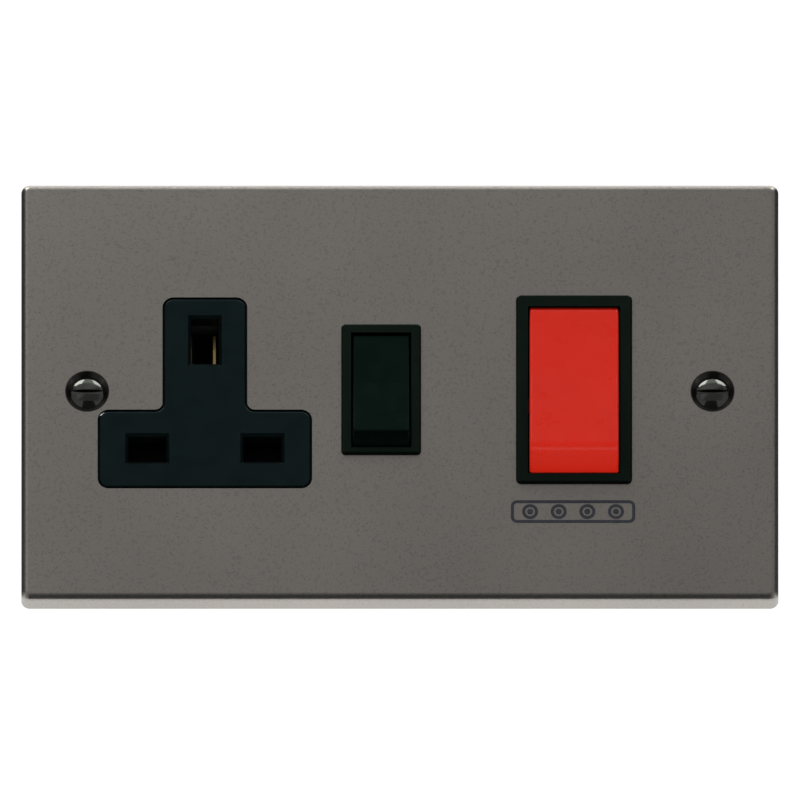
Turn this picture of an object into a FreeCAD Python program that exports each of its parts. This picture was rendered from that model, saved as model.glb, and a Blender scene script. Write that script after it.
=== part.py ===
import FreeCAD, Part
import math
import os
import re
import Sketcher

# Cooker control unit: a double wall plate with a 45 A double-pole rocker, a 13 A rocker and a socket.
# Frame: X to the right of the face, Y into the wall, Z up. The origin is the middle of the plate's
# back rim, which lies on the wall, so the face looks along -Y and the mechanism stands at Y > 0.

Vector = FreeCAD.Vector

# Driving sizes in millimetres and degrees. Every alias holds an underscore, as no function name does.
SIZES = {
    # Front plate, pressed from sheet
    "plate_width": 146.0,
    "plate_height": 86.0,
    "plate_depth": 5.2,
    "plate_sheet": 1.2,
    "plate_corner": 1.6,
    "plate_edge": 1.3,
    "fixing_pitch": 120.6,
    "sink_radius": 4.05,
    "sink_depth": 2.1,
    "sink_wall": 0.9,
    "fixing_hole": 1.95,
    # Black insert of the socket
    "insert_x": -37.6,
    "insert_level": -0.33,
    "insert_height": 38.83,
    "insert_base_width": 40.68,
    "insert_base_height": 15.61,
    "insert_stem_width": 15.67,
    "insert_corner": 1.8,
    "insert_hollow": 1.8,
    "insert_edge": 0.3,
    "insert_gap": 0.35,
    "moulding_web": 3.2,
    "moulding_lap": 1.5,
    # Pin apertures
    "pin_pitch": 22.22,
    "line_level": -11.85,
    "earth_level": 10.5,
    "line_slot_width": 7.3,
    "line_slot_height": 5.2,
    "earth_slot_width": 5.3,
    "earth_slot_height": 9.3,
    "slot_lead": 0.6,
    # 45 A switch
    "big_x": 33.6,
    "big_frame_width": 22.1,
    "big_frame_height": 38.7,
    "big_frame_corner": 0.8,
    "big_rocker_width": 17.2,
    "big_rocker_radius": 19.1,
    "big_pivot_depth": 8.0,
    "big_face_half": 15.45,
    "big_dish": 0.36,
    "big_tilt": 9.6,
    "big_end_round": 1.8,
    "big_side_round": 0.5,
    "big_skirt": 2.5,
    "big_flange_height": 44.0,
    "big_cheek_reach": 6.0,
    "big_trunnion": 1.5,
    "pole_pitch": 10.4,
    # 13 A switch
    "small_x": -3.6,
    "small_frame_width": 15.1,
    "small_frame_height": 26.7,
    "small_frame_corner": 0.6,
    "small_rocker_width": 11.0,
    "small_rocker_radius": 13.4,
    "small_pivot_depth": 6.0,
    "small_face_half": 10.9,
    "small_dish": 0.25,
    "small_tilt": 8.5,
    "small_end_round": 1.1,
    "small_side_round": 0.35,
    "small_skirt": 1.6,
    "small_flange_height": 31.0,
    "small_cheek_reach": 4.0,
    "small_trunnion": 1.2,
    # Shared by both switches
    "frame_level": 0.31,
    "frame_proud": 0.8,
    "frame_edge": 0.3,
    "cutout_gap": 0.15,
    "rocker_gap": 0.3,
    "rocker_wall": 1.6,
    "cheek_wall": 2.0,
    "cheek_height": 12.0,
    "bearing_snap": 0.2,
    "pivot_gap": 0.05,
    "hub_back": 0.4,
    "hub_wall": 1.6,
    "hub_root": 0.6,
    "middle_rib": 3.4,
    # Plungers in the rockers
    "plunger_radius": 1.5,
    "plunger_length": 6.5,
    "plunger_wall": 1.0,
    "plunger_play": 0.1,
    "plunger_tail": 1.5,
    "plunger_step": 0.5,
    "plunger_dome": 1.2,
    "tube_end": 8.2,
    "bore_end": -2.6,
    "spring_wire": 0.4,
    # Rocking contact arms
    "fulcrum_y": 13.0,
    "arm_thick": 1.0,
    "arm_width": 5.6,
    "small_arm_width": 4.4,
    "arm_up": 9.9,
    "arm_down": 8.4,
    "arm_tilt": 10.0,
    "arm_corner": 0.8,
    "bead_radius": 1.0,
    "tip_level": 8.2,
    "tip_radius": 1.6,
    "tip_face": 0.9,
    "tip_height": 0.8,
    "contact_gap": 0.08,
    "rivet_height": 0.6,
    "rivet_radius": 1.8,
    "cradle_half": 1.7,
    "cradle_drop": 0.45,
    # Strips and terminals
    "strip_thick": 1.2,
    "strip_width": 2.4,
    "strip_gap": 0.15,
    "layer_gap": 2.75,
    "block_width": 8.4,
    "block_height": 12.0,
    "block_depth": 11.0,
    "block_inset": 0.45,
    "block_inner": 15.0,
    "cable_radius": 3.1,
    "cable_depth": 6.8,
    "clamp_radius": 2.4,
    "clamp_head": 3.3,
    "clamp_head_height": 1.5,
    "clamp_point": 0.4,
    "clamp_head_edge": 0.3,
    "clamp_slot_depth": 0.8,
    "slot_width": 0.9,
    "earth_x": 13.0,
    "earth_block_width": 13.0,
    "earth_block_inner": 16.0,
    "earth_cable_radius": 2.2,
    "earth_cable_pitch": 6.4,
    "earth_clamp_radius": 1.9,
    "earth_clamp_head": 2.6,
    # Socket contacts
    "jaw_thick": 0.8,
    "jaw_pinch": 1.8,
    "jaw_mouth": 2.6,
    "jaw_base": 2.2,
    "jaw_width": 6.4,
    "jaw_front": 2.6,
    "jaw_flare": 2.2,
    "earth_jaw_thick": 0.5,
    "earth_jaw_pinch": 1.6,
    "earth_jaw_mouth": 2.1,
    "earth_jaw_base": 2.3,
    "earth_jaw_width": 8.0,
    "earth_jaw_shift": 0.5,
    "link_rivet": 1.6,
    # Safety shutter
    "shutter_gap": 0.2,
    "shutter_thick": 1.6,
    "shutter_travel": 6.4,
    "shutter_cover": 1.2,
    "shutter_side": 1.2,
    "neck_width": 7.0,
    "neck_top": 4.6,
    "ramp_width": 1.8,
    "ramp_top": 12.9,
    "ramp_depth": 5.2,
    "ramp_land": 0.6,
    "spring_seat_width": 4.4,
    "spring_seat_depth": 3.2,
    "spring_seat_height": 2.5,
    "spigot_radius": 0.8,
    "spigot_length": 1.6,
    "spring_length": 11.2,
    "spring_radius": 1.5,
    # Rear housing and its back cover
    "housing_width": 110.0,
    "housing_height": 58.0,
    "flange_thick": 2.6,
    "flange_corner": 3.0,
    "housing_wall": 1.8,
    "housing_skin": 1.25,
    "body_corner": 1.6,
    "entry_edge": 0.5,
    "gusset_thick": 1.4,
    "gusset_pitch": 8.6,
    "gusset_height": 6.4,
    "gusset_depth": 9.0,
    "socket_block_right": -14.0,
    "socket_block_half": 21.0,
    "switch_block_right": 45.2,
    "cover_thick": 2.0,
    "cover_half": 14.6,
    "cover_edge": 0.6,
    "panel_left": -42.0,
    "panel_right": 11.0,
    "panel_half": 9.4,
    "panel_depth": 0.5,
    "panel_corner": 1.2,
    "well_gap": 0.9,
    "well_top": 11.5,
    "well_bottom": 10.5,
    "room_gap": 0.3,
    # Studs and screws that hold plate and housing together
    "stud_x": 50.0,
    "stud_z": 25.5,
    "stud_radius": 2.75,
    "stud_hole": 1.5,
    "screw_radius": 1.45,
    "screw_head": 2.8,
    "screw_head_height": 1.7,
    "screw_reach": 2.6,
    "screw_point": 0.4,
    "screw_slot_depth": 0.9,
    "cover_screw_left": -49.0,
    "cover_screw_right": 18.0,
    "cover_screw_z": 1.0,
    "cover_screw_reach": 8.0,
    # Wall fixing screws, 3.5 mm with raised countersunk heads
    "fixing_radius": 1.75,
    "fixing_head": 3.2,
    "fixing_dome": 0.75,
    "fixing_length": 25.0,
    "fixing_point": 0.8,
    "fixing_slot_depth": 0.9,
    # Earth strap from the terminal to the plate
    "strap_thick": 0.6,
    "strap_width": 5.0,
    "strap_foot": 5.0,
    "strap_lift": 0.5,
    "strap_lap": 1.2,
    # Clearances of tools and wires
    "cut_over": 1.0,
    "wire_play": 0.1,
}

# Turns of each coiled spring, and straight chords in a turn
SPRING_TURNS = 6
COIL_CHORDS = 10

# Levels along Y that several pieces share, as expressions of the sizes
FACE = "(0 - plate_depth)"
SHEET_BACK = "(plate_sheet - plate_depth)"
SEAT = "(plate_sheet - plate_depth + moulding_web)"
CONTACT_FACE = (
    "(fulcrum_y + tip_height * cos(arm_tilt) + (tip_level + tip_face) * sin(arm_tilt) + contact_gap)"
)
LAYER_A = "(" + CONTACT_FACE + " + rivet_height)"
WELL_FLOOR = "(" + LAYER_A + " + strip_thick + strip_gap)"
LAYER_B = "(" + LAYER_A + " + strip_thick + layer_gap)"
HOUSING_BACK = "(" + LAYER_B + " + strip_thick + housing_skin)"
BLOCK_BACK = "(" + HOUSING_BACK + " - block_inset)"
BLOCK_FRONT = "(" + BLOCK_BACK + " - block_depth)"
CABLE_Y = "(" + BLOCK_BACK + " - cable_depth)"
BLOCK_OUTER = "(block_inner + block_height)"
SHUTTER_FRONT = "(" + SEAT + " + shutter_gap)"
SHUTTER_BACK = "(" + SHUTTER_FRONT + " + shutter_thick)"
SHUTTER_TOP = "(line_level + line_slot_height / 2 + shutter_cover)"
SHUTTER_BOTTOM = "(line_level - line_slot_height / 2 - shutter_cover)"
SPRING_FOOT = "(" + SHUTTER_BOTTOM + " - spring_length)"
SPRING_Y = "(" + SHUTTER_FRONT + " + spring_seat_depth / 2)"
LINE_X = "(insert_x + pin_pitch / 2)"
NEUTRAL_X = "(insert_x - pin_pitch / 2)"
LINE_POLE = "(big_x - pole_pitch / 2)"
NEUTRAL_POLE = "(big_x + pole_pitch / 2)"

doc = FreeCAD.newDocument("cooker_control_unit")
sheet = doc.addObject("Spreadsheet::Sheet", "dims")
for row, (alias, number) in enumerate(SIZES.items(), start=1):
    sheet.set(f"A{row}", alias)
    sheet.set(f"B{row}", str(number))
    sheet.setAlias(f"B{row}", alias)
doc.recompute()

ALIAS = re.compile(r"\b[a-z]+(?:_[a-z]+)+\b")


def linked(expression):
    """Return the expression with each alias pointing at the sheet."""
    return ALIAS.sub(lambda match: "dims." + match.group(0), str(expression))


def value(expression):
    """Return the present number of an expression."""
    return float(sheet.evalExpression(linked(expression)))


def bind(target, prop, expression):
    """Tie one property of an object to an expression of the sheet."""
    target.setExpression(prop, linked(expression))


def new_body(label):
    """Start the body of one sub-part; its label names its file."""
    body = doc.addObject("PartDesign::Body", label)
    body.Label = label
    return body


def place(body, x="0", y="0", z="0", turn=None):
    """Put a body's own origin at a point, turned about the X axis if an angle is given."""
    body.Placement = FreeCAD.Placement(Vector(), FreeCAD.Rotation(Vector(1, 0, 0), 1))
    bind(body, "Placement.Base.x", x)
    bind(body, "Placement.Base.y", y)
    bind(body, "Placement.Base.z", z)
    bind(body, "Placement.Rotation.Angle", turn or "0")


def new_sketch(body, plane, start, across="0"):
    """Start a sketch on an origin plane of the body, moved along the plane's free axis and across it."""
    support = [item for item in body.Origin.OriginFeatures if item.Role == plane + "_Plane"][0]
    sketch = body.newObject("Sketcher::SketchObject", body.Name + "_sketch")
    sketch.AttachmentSupport = [(support, "")]
    sketch.MapMode = "FlatFace"
    sign = "-1 * " if plane == "XZ" else ""
    bind(sketch, "AttachmentOffset.Base.z", sign + f"({start})")
    bind(sketch, "AttachmentOffset.Base.x", across)
    return sketch


def fix_point(sketch, geometry, end, point):
    """Bind both coordinates of one end of a sketch element."""
    for axis, expression in zip("XY", point):
        index = sketch.addConstraint(
            Sketcher.Constraint("Distance" + axis, -1, 1, geometry, end, value(expression))
        )
        sketch.setExpression(f"Constraints[{index}]", linked(expression))


def add_outline(sketch, points, domed=()):
    """Add a closed outline; the stretch after a domed point is an arc centred on the upright axis."""
    spots = [Vector(value(u), value(v), 0) for u, v in points]
    first = sketch.GeometryCount
    count = len(points)
    for index, spot in enumerate(spots):
        after = spots[(index + 1) % count]
        if index in domed:
            rise = after.y - spot.y
            radius = (spot.x ** 2 + rise ** 2) / (2 * abs(rise))
            centre = Vector(0, after.y - math.copysign(radius, rise), 0)
            middle_angle = (math.atan2(spot.y - centre.y, spot.x) + math.copysign(math.pi / 2, rise)) / 2
            middle = centre + Vector(math.cos(middle_angle), math.sin(middle_angle), 0) * radius
            piece = Part.Arc(spot, middle, after)
        else:
            piece = Part.LineSegment(spot, after)
        sketch.addGeometry(piece, False)
    flipped = {}
    for index in range(count):
        # An arc is always stored counter-clockwise, so its ends may be swapped.
        start = sketch.getPoint(first + index, 1)
        flipped[index] = (start - spots[index]).Length > 1e-6
    for index in range(count):
        after = (index + 1) % count
        leave = 1 if flipped[index] else 2
        enter = 2 if flipped[after] else 1
        sketch.addConstraint(
            Sketcher.Constraint("Coincident", first + index, leave, first + after, enter)
        )
    for index, point in enumerate(points):
        fix_point(sketch, first + index, 2 if flipped[index] else 1, point)
    for index in domed:
        sketch.addConstraint(Sketcher.Constraint("PointOnObject", first + index, 3, -2))


def add_circle(sketch, u, v, radius):
    """Add a circle with its centre and radius bound."""
    spot = Vector(value(u), value(v), 0)
    index = sketch.addGeometry(Part.Circle(spot, Vector(0, 0, 1), value(radius)), False)
    fix_point(sketch, index, 3, (u, v))
    constraint = sketch.addConstraint(Sketcher.Constraint("Radius", index, value(radius)))
    sketch.setExpression(f"Constraints[{constraint}]", linked(radius))


def extrude(body, sketch, length, cut=False):
    """Pad or pocket a sketch towards the plus side of its free axis and check that it changed the body."""
    plane = [item for item in ("XZ", "YZ", "XY") if sketch.AttachmentSupport[0][0].Role.startswith(item)][0]
    kind = "PartDesign::Pocket" if cut else "PartDesign::Pad"
    before = body.Shape.Volume if cut else 0.0
    feature = body.newObject(kind, body.Name + ("_pocket" if cut else "_pad"))
    feature.Profile = sketch
    bind(feature, "Length", length)
    feature.Reversed = (plane != "XZ") if cut else (plane == "XZ")
    doc.recompute()
    if cut and not body.Shape.Volume < before - 1e-6:
        raise ValueError(f"{body.Label}: {feature.Name} removed nothing")
    return feature


def extrude_outline(body, plane, start, length, points, cut=False):
    """Pad or pocket one closed outline."""
    sketch = new_sketch(body, plane, start)
    add_outline(sketch, points)
    return extrude(body, sketch, length, cut)


def corners(u_low, u_high, v_low, v_high):
    """Return the four corners of an upright rectangle."""
    return [(u_low, v_low), (u_high, v_low), (u_high, v_high), (u_low, v_high)]


def box(body, x_low, x_high, y_low, y_high, z_low, z_high, cut=False):
    """Pad or pocket a rectangular block given by its six sides."""
    length = f"({y_high}) - ({y_low})"
    return extrude_outline(body, "XZ", y_low, length, corners(x_low, x_high, z_low, z_high), cut)


def centred(middle, size):
    """Return the low and high side of a span of the given size about its middle."""
    return f"({middle}) - ({size}) / 2", f"({middle}) + ({size}) / 2"


def rod(body, plane, u, v, radius, start, length, cut=False):
    """Pad or pocket a round bar along the free axis of the plane."""
    sketch = new_sketch(body, plane, start)
    add_circle(sketch, u, v, radius)
    return extrude(body, sketch, length, cut)


def revolve(body, points, domed=(), cut=False, across="0"):
    """Turn a half outline, given as radius and level, about a line along Y at a place across the body."""
    before = body.Shape.Volume if cut else 0.0
    sketch = new_sketch(body, "XY", "0", across)
    add_outline(sketch, points, domed)
    kind = "PartDesign::Groove" if cut else "PartDesign::Revolution"
    feature = body.newObject(kind, body.Name + ("_groove" if cut else "_turned"))
    feature.Profile = sketch
    feature.ReferenceAxis = (sketch, ["V_Axis"])
    feature.Angle = 360
    doc.recompute()
    if cut and not body.Shape.Volume < before - 1e-6:
        raise ValueError(f"{body.Label}: {feature.Name} removed nothing")
    return feature


def round_edges(body, radius, chosen, chamfer=False):
    """Fillet or chamfer the edges of the present body that the test picks."""
    names = [
        f"Edge{index}"
        for index, edge in enumerate(body.Tip.Shape.Edges, start=1)
        if chosen(edge)
    ]
    if not names:
        raise ValueError(f"{body.Label}: no edge to round")
    base = body.Tip
    kind = "PartDesign::Chamfer" if chamfer else "PartDesign::Fillet"
    feature = body.newObject(kind, body.Name + "_edges")
    feature.Base = (base, names)
    bind(feature, "Size" if chamfer else "Radius", radius)
    doc.recompute()
    return feature


def runs_along(edge, axis):
    """Tell whether an edge is straight and parallel to an axis."""
    if not isinstance(edge.Curve, Part.Line):
        return False
    return abs(abs(edge.Curve.Direction.dot(axis)) - 1) < 1e-6


def middle(edge):
    """Return the middle of an edge's bounding box."""
    return edge.BoundBox.Center


def near(first, second, slack=1e-3):
    """Tell whether two numbers are the same within a small slack."""
    return abs(first - second) < slack


def lies_at(edge, level):
    """Tell whether an edge lies flat at a level along Y."""
    return near(edge.BoundBox.YMin, level) and near(edge.BoundBox.YMax, level)


AXIS_X = Vector(1, 0, 0)
AXIS_Y = Vector(0, 1, 0)
AXIS_Z = Vector(0, 0, 1)


def insert_outline(grow):
    """Return the T outline of the socket insert, grown on all sides."""
    base_low, base_high = centred("insert_x", f"insert_base_width + 2 * ({grow})")
    stem_low, stem_high = centred("insert_x", f"insert_stem_width + 2 * ({grow})")
    low, high = centred("insert_level", "insert_height")
    bottom = f"{low} - ({grow})"
    shoulder = f"{low} + insert_base_height + ({grow})"
    top = f"{high} + ({grow})"
    return [
        (base_low, bottom), (base_high, bottom), (base_high, shoulder), (stem_high, shoulder),
        (stem_high, top), (stem_low, top), (stem_low, shoulder), (base_low, shoulder),
    ]


def round_insert_outline(body, grow):
    """Round the eight upright corners of a T outline that was grown by the given amount."""
    points = [(value(u), value(v)) for u, v in insert_outline(grow)]
    inner = {points[3], points[6]}
    outer = set(points) - inner

    def at_corner(spots):
        return lambda edge: runs_along(edge, AXIS_Y) and any(
            near(middle(edge).x, u) and near(middle(edge).z, v) for u, v in spots
        )

    round_edges(body, f"insert_corner + ({grow})", at_corner(outer))
    round_edges(body, f"insert_hollow - ({grow})", at_corner(inner))


def build_front_plate():
    """Build the pressed plate: a shallow tray with three windows and two sunk screw seats."""
    body = new_body("front_plate")
    x_low, x_high = centred("0", "plate_width")
    z_low, z_high = centred("0", "plate_height")
    box(body, x_low, x_high, FACE, "0", z_low, z_high)
    round_edges(body, "plate_corner", lambda edge: runs_along(edge, AXIS_Y))
    face = value(FACE)
    round_edges(body, "plate_edge", lambda edge: lies_at(edge, face))
    x_low, x_high = centred("0", "plate_width - 2 * plate_sheet")
    z_low, z_high = centred("0", "plate_height - 2 * plate_sheet")
    box(body, x_low, x_high, SHEET_BACK, "0", z_low, z_high, cut=True)
    extrude_outline(body, "XZ", FACE, "plate_sheet", insert_outline("insert_gap"), cut=True)
    round_insert_outline(body, "insert_gap")
    for kind in ("big", "small"):
        x_low, x_high = centred(f"{kind}_x", f"{kind}_frame_width + 2 * cutout_gap")
        z_low, z_high = centred("frame_level", f"{kind}_frame_height + 2 * cutout_gap")
        box(body, x_low, x_high, FACE, SHEET_BACK, z_low, z_high, cut=True)
        sides = (value(x_low), value(x_high))
        ends = (value(z_low), value(z_high))
        round_edges(
            body, f"{kind}_frame_corner + cutout_gap",
            lambda edge: runs_along(edge, AXIS_Y)
            and any(near(middle(edge).x, side) for side in sides)
            and any(near(middle(edge).z, end) for end in ends),
        )
    for side in ("-1", "1"):
        across = f"{side} * fixing_pitch / 2"
        seat_end = f"({FACE} + sink_depth + sink_wall)"
        revolve(body, [
            ("0", SHEET_BACK), ("sink_radius + sink_wall / 2", SHEET_BACK),
            ("fixing_hole + sink_wall", seat_end), ("0", seat_end),
        ], across=across)
        revolve(body, [
            ("0", FACE), ("sink_radius", FACE), ("fixing_hole", f"{FACE} + sink_depth"),
            ("fixing_hole", f"{seat_end} + cut_over"), ("0", f"{seat_end} + cut_over"),
        ], cut=True, across=across)
    return body


def pin_slots():
    """Return the middle, width and height of the three pin apertures: line, neutral, earth."""
    return (
        (LINE_X, "line_level", "line_slot_width", "line_slot_height"),
        (NEUTRAL_X, "line_level", "line_slot_width", "line_slot_height"),
        ("insert_x", "earth_level", "earth_slot_width", "earth_slot_height"),
    )


def build_socket_moulding():
    """Build the black T insert with its flange behind the plate and the three pin apertures."""
    body = new_body("socket_moulding")
    extrude_outline(body, "XZ", FACE, f"{SEAT} - {FACE}", insert_outline("0"))
    round_insert_outline(body, "0")
    face = value(FACE)
    round_edges(body, "insert_edge", lambda edge: lies_at(edge, face))
    extrude_outline(body, "XZ", SHEET_BACK, "moulding_web", insert_outline("moulding_lap"))
    x_low, x_high = centred("insert_x", "spring_seat_width + 4 * housing_wall")
    z_high, _ = centred("insert_level", "insert_height")
    box(body, x_low, x_high, SHEET_BACK, SEAT, f"{SPRING_FOOT} - housing_wall", z_high)
    rod(body, "XZ", "0 - fixing_pitch / 2", "0", "sink_radius + sink_wall + room_gap", SHEET_BACK,
        "moulding_web", cut=True)
    for x, z, width, height in pin_slots():
        x_low, x_high = centred(x, width)
        z_low, z_high = centred(z, height)
        box(body, x_low, x_high, FACE, SEAT, z_low, z_high, cut=True)
        limits = [value(side) for side in (x_low, x_high, z_low, z_high)]
        round_edges(
            body, "slot_lead",
            lambda edge: lies_at(edge, face)
            and edge.BoundBox.XMin > limits[0] - 0.01 and edge.BoundBox.XMax < limits[1] + 0.01
            and edge.BoundBox.ZMin > limits[2] - 0.01 and edge.BoundBox.ZMax < limits[3] + 0.01,
            chamfer=True,
        )
    return body


def build_switch_frame(kind, label):
    """Build one switch frame: a raised rim, a flange behind the plate and two bearing cheeks."""
    body = new_body(label)
    pivot = f"({kind}_pivot_depth - plate_depth)"
    x_low, x_high = centred(f"{kind}_x", f"{kind}_frame_width")
    z_low, z_high = centred("frame_level", f"{kind}_frame_height")
    front = f"({FACE} - frame_proud)"
    box(body, x_low, x_high, front, SEAT, z_low, z_high)
    round_edges(body, f"{kind}_frame_corner", lambda edge: runs_along(edge, AXIS_Y))
    level = value(front)
    round_edges(body, "frame_edge", lambda edge: lies_at(edge, level))
    x_low, x_high = centred(f"{kind}_x", f"{kind}_frame_width + 2 * moulding_lap")
    z_low, z_high = centred("0", f"{kind}_flange_height")
    box(body, x_low, x_high, SHEET_BACK, SEAT, z_low, z_high)
    window = f"({kind}_rocker_width + 2 * rocker_gap)"
    x_low, x_high = centred(f"{kind}_x", f"{window} + 2 * cheek_wall")
    z_low, z_high = centred("0", "cheek_height")
    box(body, x_low, x_high, SEAT, f"{kind}_cheek_reach", z_low, z_high)
    x_low, _ = centred(f"{kind}_x", window)
    well = f"{kind}_rocker_radius + rocker_gap"
    rod(body, "YZ", pivot, "0", well, x_low, window, cut=True)
    span = f"{window} + 2 * cheek_wall + 2 * cut_over"
    x_low, _ = centred(f"{kind}_x", span)
    rod(body, "YZ", pivot, "0", f"{kind}_trunnion + pivot_gap", x_low, span, cut=True)
    neck = f"({kind}_trunnion - bearing_snap)"
    extrude_outline(
        body, "YZ", x_low, span,
        corners(pivot, f"{kind}_cheek_reach + cut_over", f"0 - {neck}", neck), cut=True,
    )
    return body


def build_rocker(kind, label, poles):
    """Build one rocker about its own pivot axis: dished face, round ends, trunnions, plunger tubes."""
    body = new_body(label)
    pivot = f"({kind}_pivot_depth - plate_depth)"
    radius = f"{kind}_rocker_radius"
    skirt = f"(0 - {kind}_skirt)"
    end_level = f"(0 - sqrt(({radius}) ^ 2 - {kind}_face_half ^ 2))"
    dish_level = f"({end_level} + {kind}_dish)"
    slope = f"({kind}_dish / {kind}_face_half)"
    reach = f"({radius} + cut_over)"
    far_level = f"({dish_level} - {slope} * {reach})"
    x_low, x_high = centred("0", f"{kind}_rocker_width")
    extrude_outline(body, "YZ", x_low, f"{kind}_rocker_width", [
        (skirt, f"0 - {reach}"), (skirt, reach), (far_level, reach),
        (dish_level, "0"), (far_level, f"0 - {reach}"),
    ])
    ring = new_sketch(body, "YZ", x_low)
    add_circle(ring, "0", "0", radius)
    add_outline(ring, corners(f"0 - 2 * {reach}", f"2 * {reach}", f"0 - 2 * {reach}", f"2 * {reach}"))
    extrude(body, ring, f"{kind}_rocker_width", cut=True)
    for side in ("0 - 1", "1"):
        inner = f"({side}) * ({kind}_face_half - rocker_wall)"
        outer = f"({side}) * ({kind}_trunnion + middle_rib)"
        low, high = (inner, outer) if side == "0 - 1" else (outer, inner)
        hollow_low, hollow_high = centred("0", f"{kind}_rocker_width - 2 * rocker_wall")
        box(body, hollow_low, hollow_high, f"{dish_level} + rocker_wall", skirt, low, high, cut=True)
    limit = value(end_level)
    half = value(f"{kind}_face_half")
    round_edges(
        body, f"{kind}_end_round",
        lambda edge: runs_along(edge, AXIS_X) and near(middle(edge).y, limit, 0.01)
        and near(abs(middle(edge).z), half, 0.01),
    )
    side_x = value(f"{kind}_rocker_width") / 2
    skirt_y = value(skirt)
    round_edges(
        body, f"{kind}_side_round",
        lambda edge: near(edge.BoundBox.XMin, edge.BoundBox.XMax)
        and near(abs(middle(edge).x), side_x) and middle(edge).y < skirt_y - 0.01,
    )
    hub_end = f"({kind}_trunnion + hub_back)"
    hub_half = f"({kind}_trunnion + hub_wall)"
    box(body, x_low, x_high, f"{skirt} - hub_root", hub_end, f"0 - {hub_half}", hub_half)
    trunnion_reach = f"({kind}_rocker_width + 2 * rocker_gap + 2 * cheek_wall)"
    low, _ = centred("0", trunnion_reach)
    rod(body, "YZ", "0", "0", f"{kind}_trunnion", low, trunnion_reach)
    for pole in poles:
        rod(body, "XZ", pole, "0", "plunger_radius + pivot_gap + plunger_wall",
            skirt, f"tube_end - {pivot} - {skirt}")
        rod(body, "XZ", pole, "0", "plunger_radius + pivot_gap", f"bore_end - {pivot}",
            "tube_end - bore_end + cut_over", cut=True)
    place(body, f"{kind}_x", pivot, "0", f"0 - {kind}_tilt")
    return body


def rocker_depth(kind, level):
    """Return a level along Y in a rocker's own frame, where the pivot is the origin."""
    return f"({level} - ({kind}_pivot_depth - plate_depth))"


def build_plunger(kind, label, pole):
    """Build a domed plunger in its rocker's bore, on the rocker's own axes."""
    body = new_body(label)
    tip = rocker_depth(kind, "fulcrum_y - arm_thick - plunger_play")
    tail = f"({tip} - plunger_length)"
    waist = f"({tail} + plunger_tail)"
    revolve(body, [
        ("0", tail), ("plunger_radius - plunger_step", tail), ("plunger_radius - plunger_step", waist),
        ("plunger_radius", waist), ("plunger_radius", f"{tip} - plunger_dome"), ("0", tip),
    ], domed=(4,))
    place_on_rocker(body, kind, pole)
    return body


def place_on_rocker(piece, kind, pole):
    """Turn a piece drawn on a rocker's axes with the rocker, at a pole's offset from its middle."""
    piece.Placement = FreeCAD.Placement(Vector(), FreeCAD.Rotation(AXIS_X, 1))
    bind(piece, "Placement.Base.x", f"{kind}_x + {pole}")
    bind(piece, "Placement.Base.y", f"{kind}_pivot_depth - plate_depth")
    bind(piece, "Placement.Rotation.Angle", f"0 - {kind}_tilt")


def coil(label, foot, axis, length, radius):
    """Build a helical spring with closed ends as a hexagonal wire bent along straight chords."""
    wire_radius = value("spring_wire") / 2
    mean = radius - wire_radius
    side = AXIS_X
    other = axis.cross(side)
    reach = length - 2 * wire_radius
    steps = SPRING_TURNS * COIL_CHORDS
    points = []
    for step in range(steps + 1):
        angle = 2 * math.pi * step / COIL_CHORDS
        lift = wire_radius + reach * step / steps
        points.append(foot + axis * lift + (side * math.cos(angle) + other * math.sin(angle)) * mean)
    spine = Part.makePolygon(points)
    direction = (points[1] - points[0]).normalize()
    across = direction.cross(axis).normalize()
    up = direction.cross(across)
    ring = [
        points[0] + (across * math.cos(math.pi * k / 3) + up * math.sin(math.pi * k / 3)) * wire_radius
        for k in range(7)
    ]
    shape = spine.makePipeShell([Part.makePolygon(ring)], True, False, 1)
    piece = doc.addObject("Part::Feature", label)
    piece.Label = label
    piece.Shape = shape
    return piece


def build_plunger_spring(kind, label, pole):
    """Build the spring between the bottom of the bore and the plunger's shoulder."""
    start = value(rocker_depth(kind, "bore_end"))
    end = value(rocker_depth(kind, "fulcrum_y - arm_thick - plunger_play - plunger_length"))
    radius = value("plunger_radius - wire_play")
    piece = coil(label, Vector(0, start, 0), AXIS_Y, end - start, radius)
    place_on_rocker(piece, kind, pole)
    return piece


def build_contact_arm(label, pole, width):
    """Build a rocking contact arm about its bead: strip, rolled bead and contact tip."""
    body = new_body(label)
    x_low, x_high = centred("0", width)
    box(body, x_low, x_high, "0 - arm_thick", "0", "0 - arm_down", "arm_up")
    round_edges(body, "arm_corner", lambda edge: runs_along(edge, AXIS_Y))
    rod(body, "YZ", "0", "0", "bead_radius", x_low, width)
    sketch = new_sketch(body, "XZ", "0")
    add_circle(sketch, "0", "tip_level", "tip_radius")
    extrude(body, sketch, "tip_height")
    back = value("tip_height")
    past_bead = value("bead_radius")
    round_edges(
        body, "tip_radius - tip_face",
        lambda edge: lies_at(edge, back) and middle(edge).z > past_bead, chamfer=True,
    )
    place(body, pole, "fulcrum_y", "0", "arm_tilt")
    return body


def add_rivet(body, x, level):
    """Add the flat contact rivet that an arm's tip meets."""
    rod(body, "XZ", x, level, "rivet_radius", CONTACT_FACE, "rivet_height")


def add_cradle(body, x, width):
    """Add the grooved post on which an arm rocks."""
    x_low, x_high = centred(x, width)
    front = "(fulcrum_y + cradle_drop)"
    box(body, x_low, x_high, front, LAYER_A, "0 - cradle_half", "cradle_half")
    rod(body, "YZ", "fulcrum_y", "0", "bead_radius + pivot_gap", x_low, width, cut=True)


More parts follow.
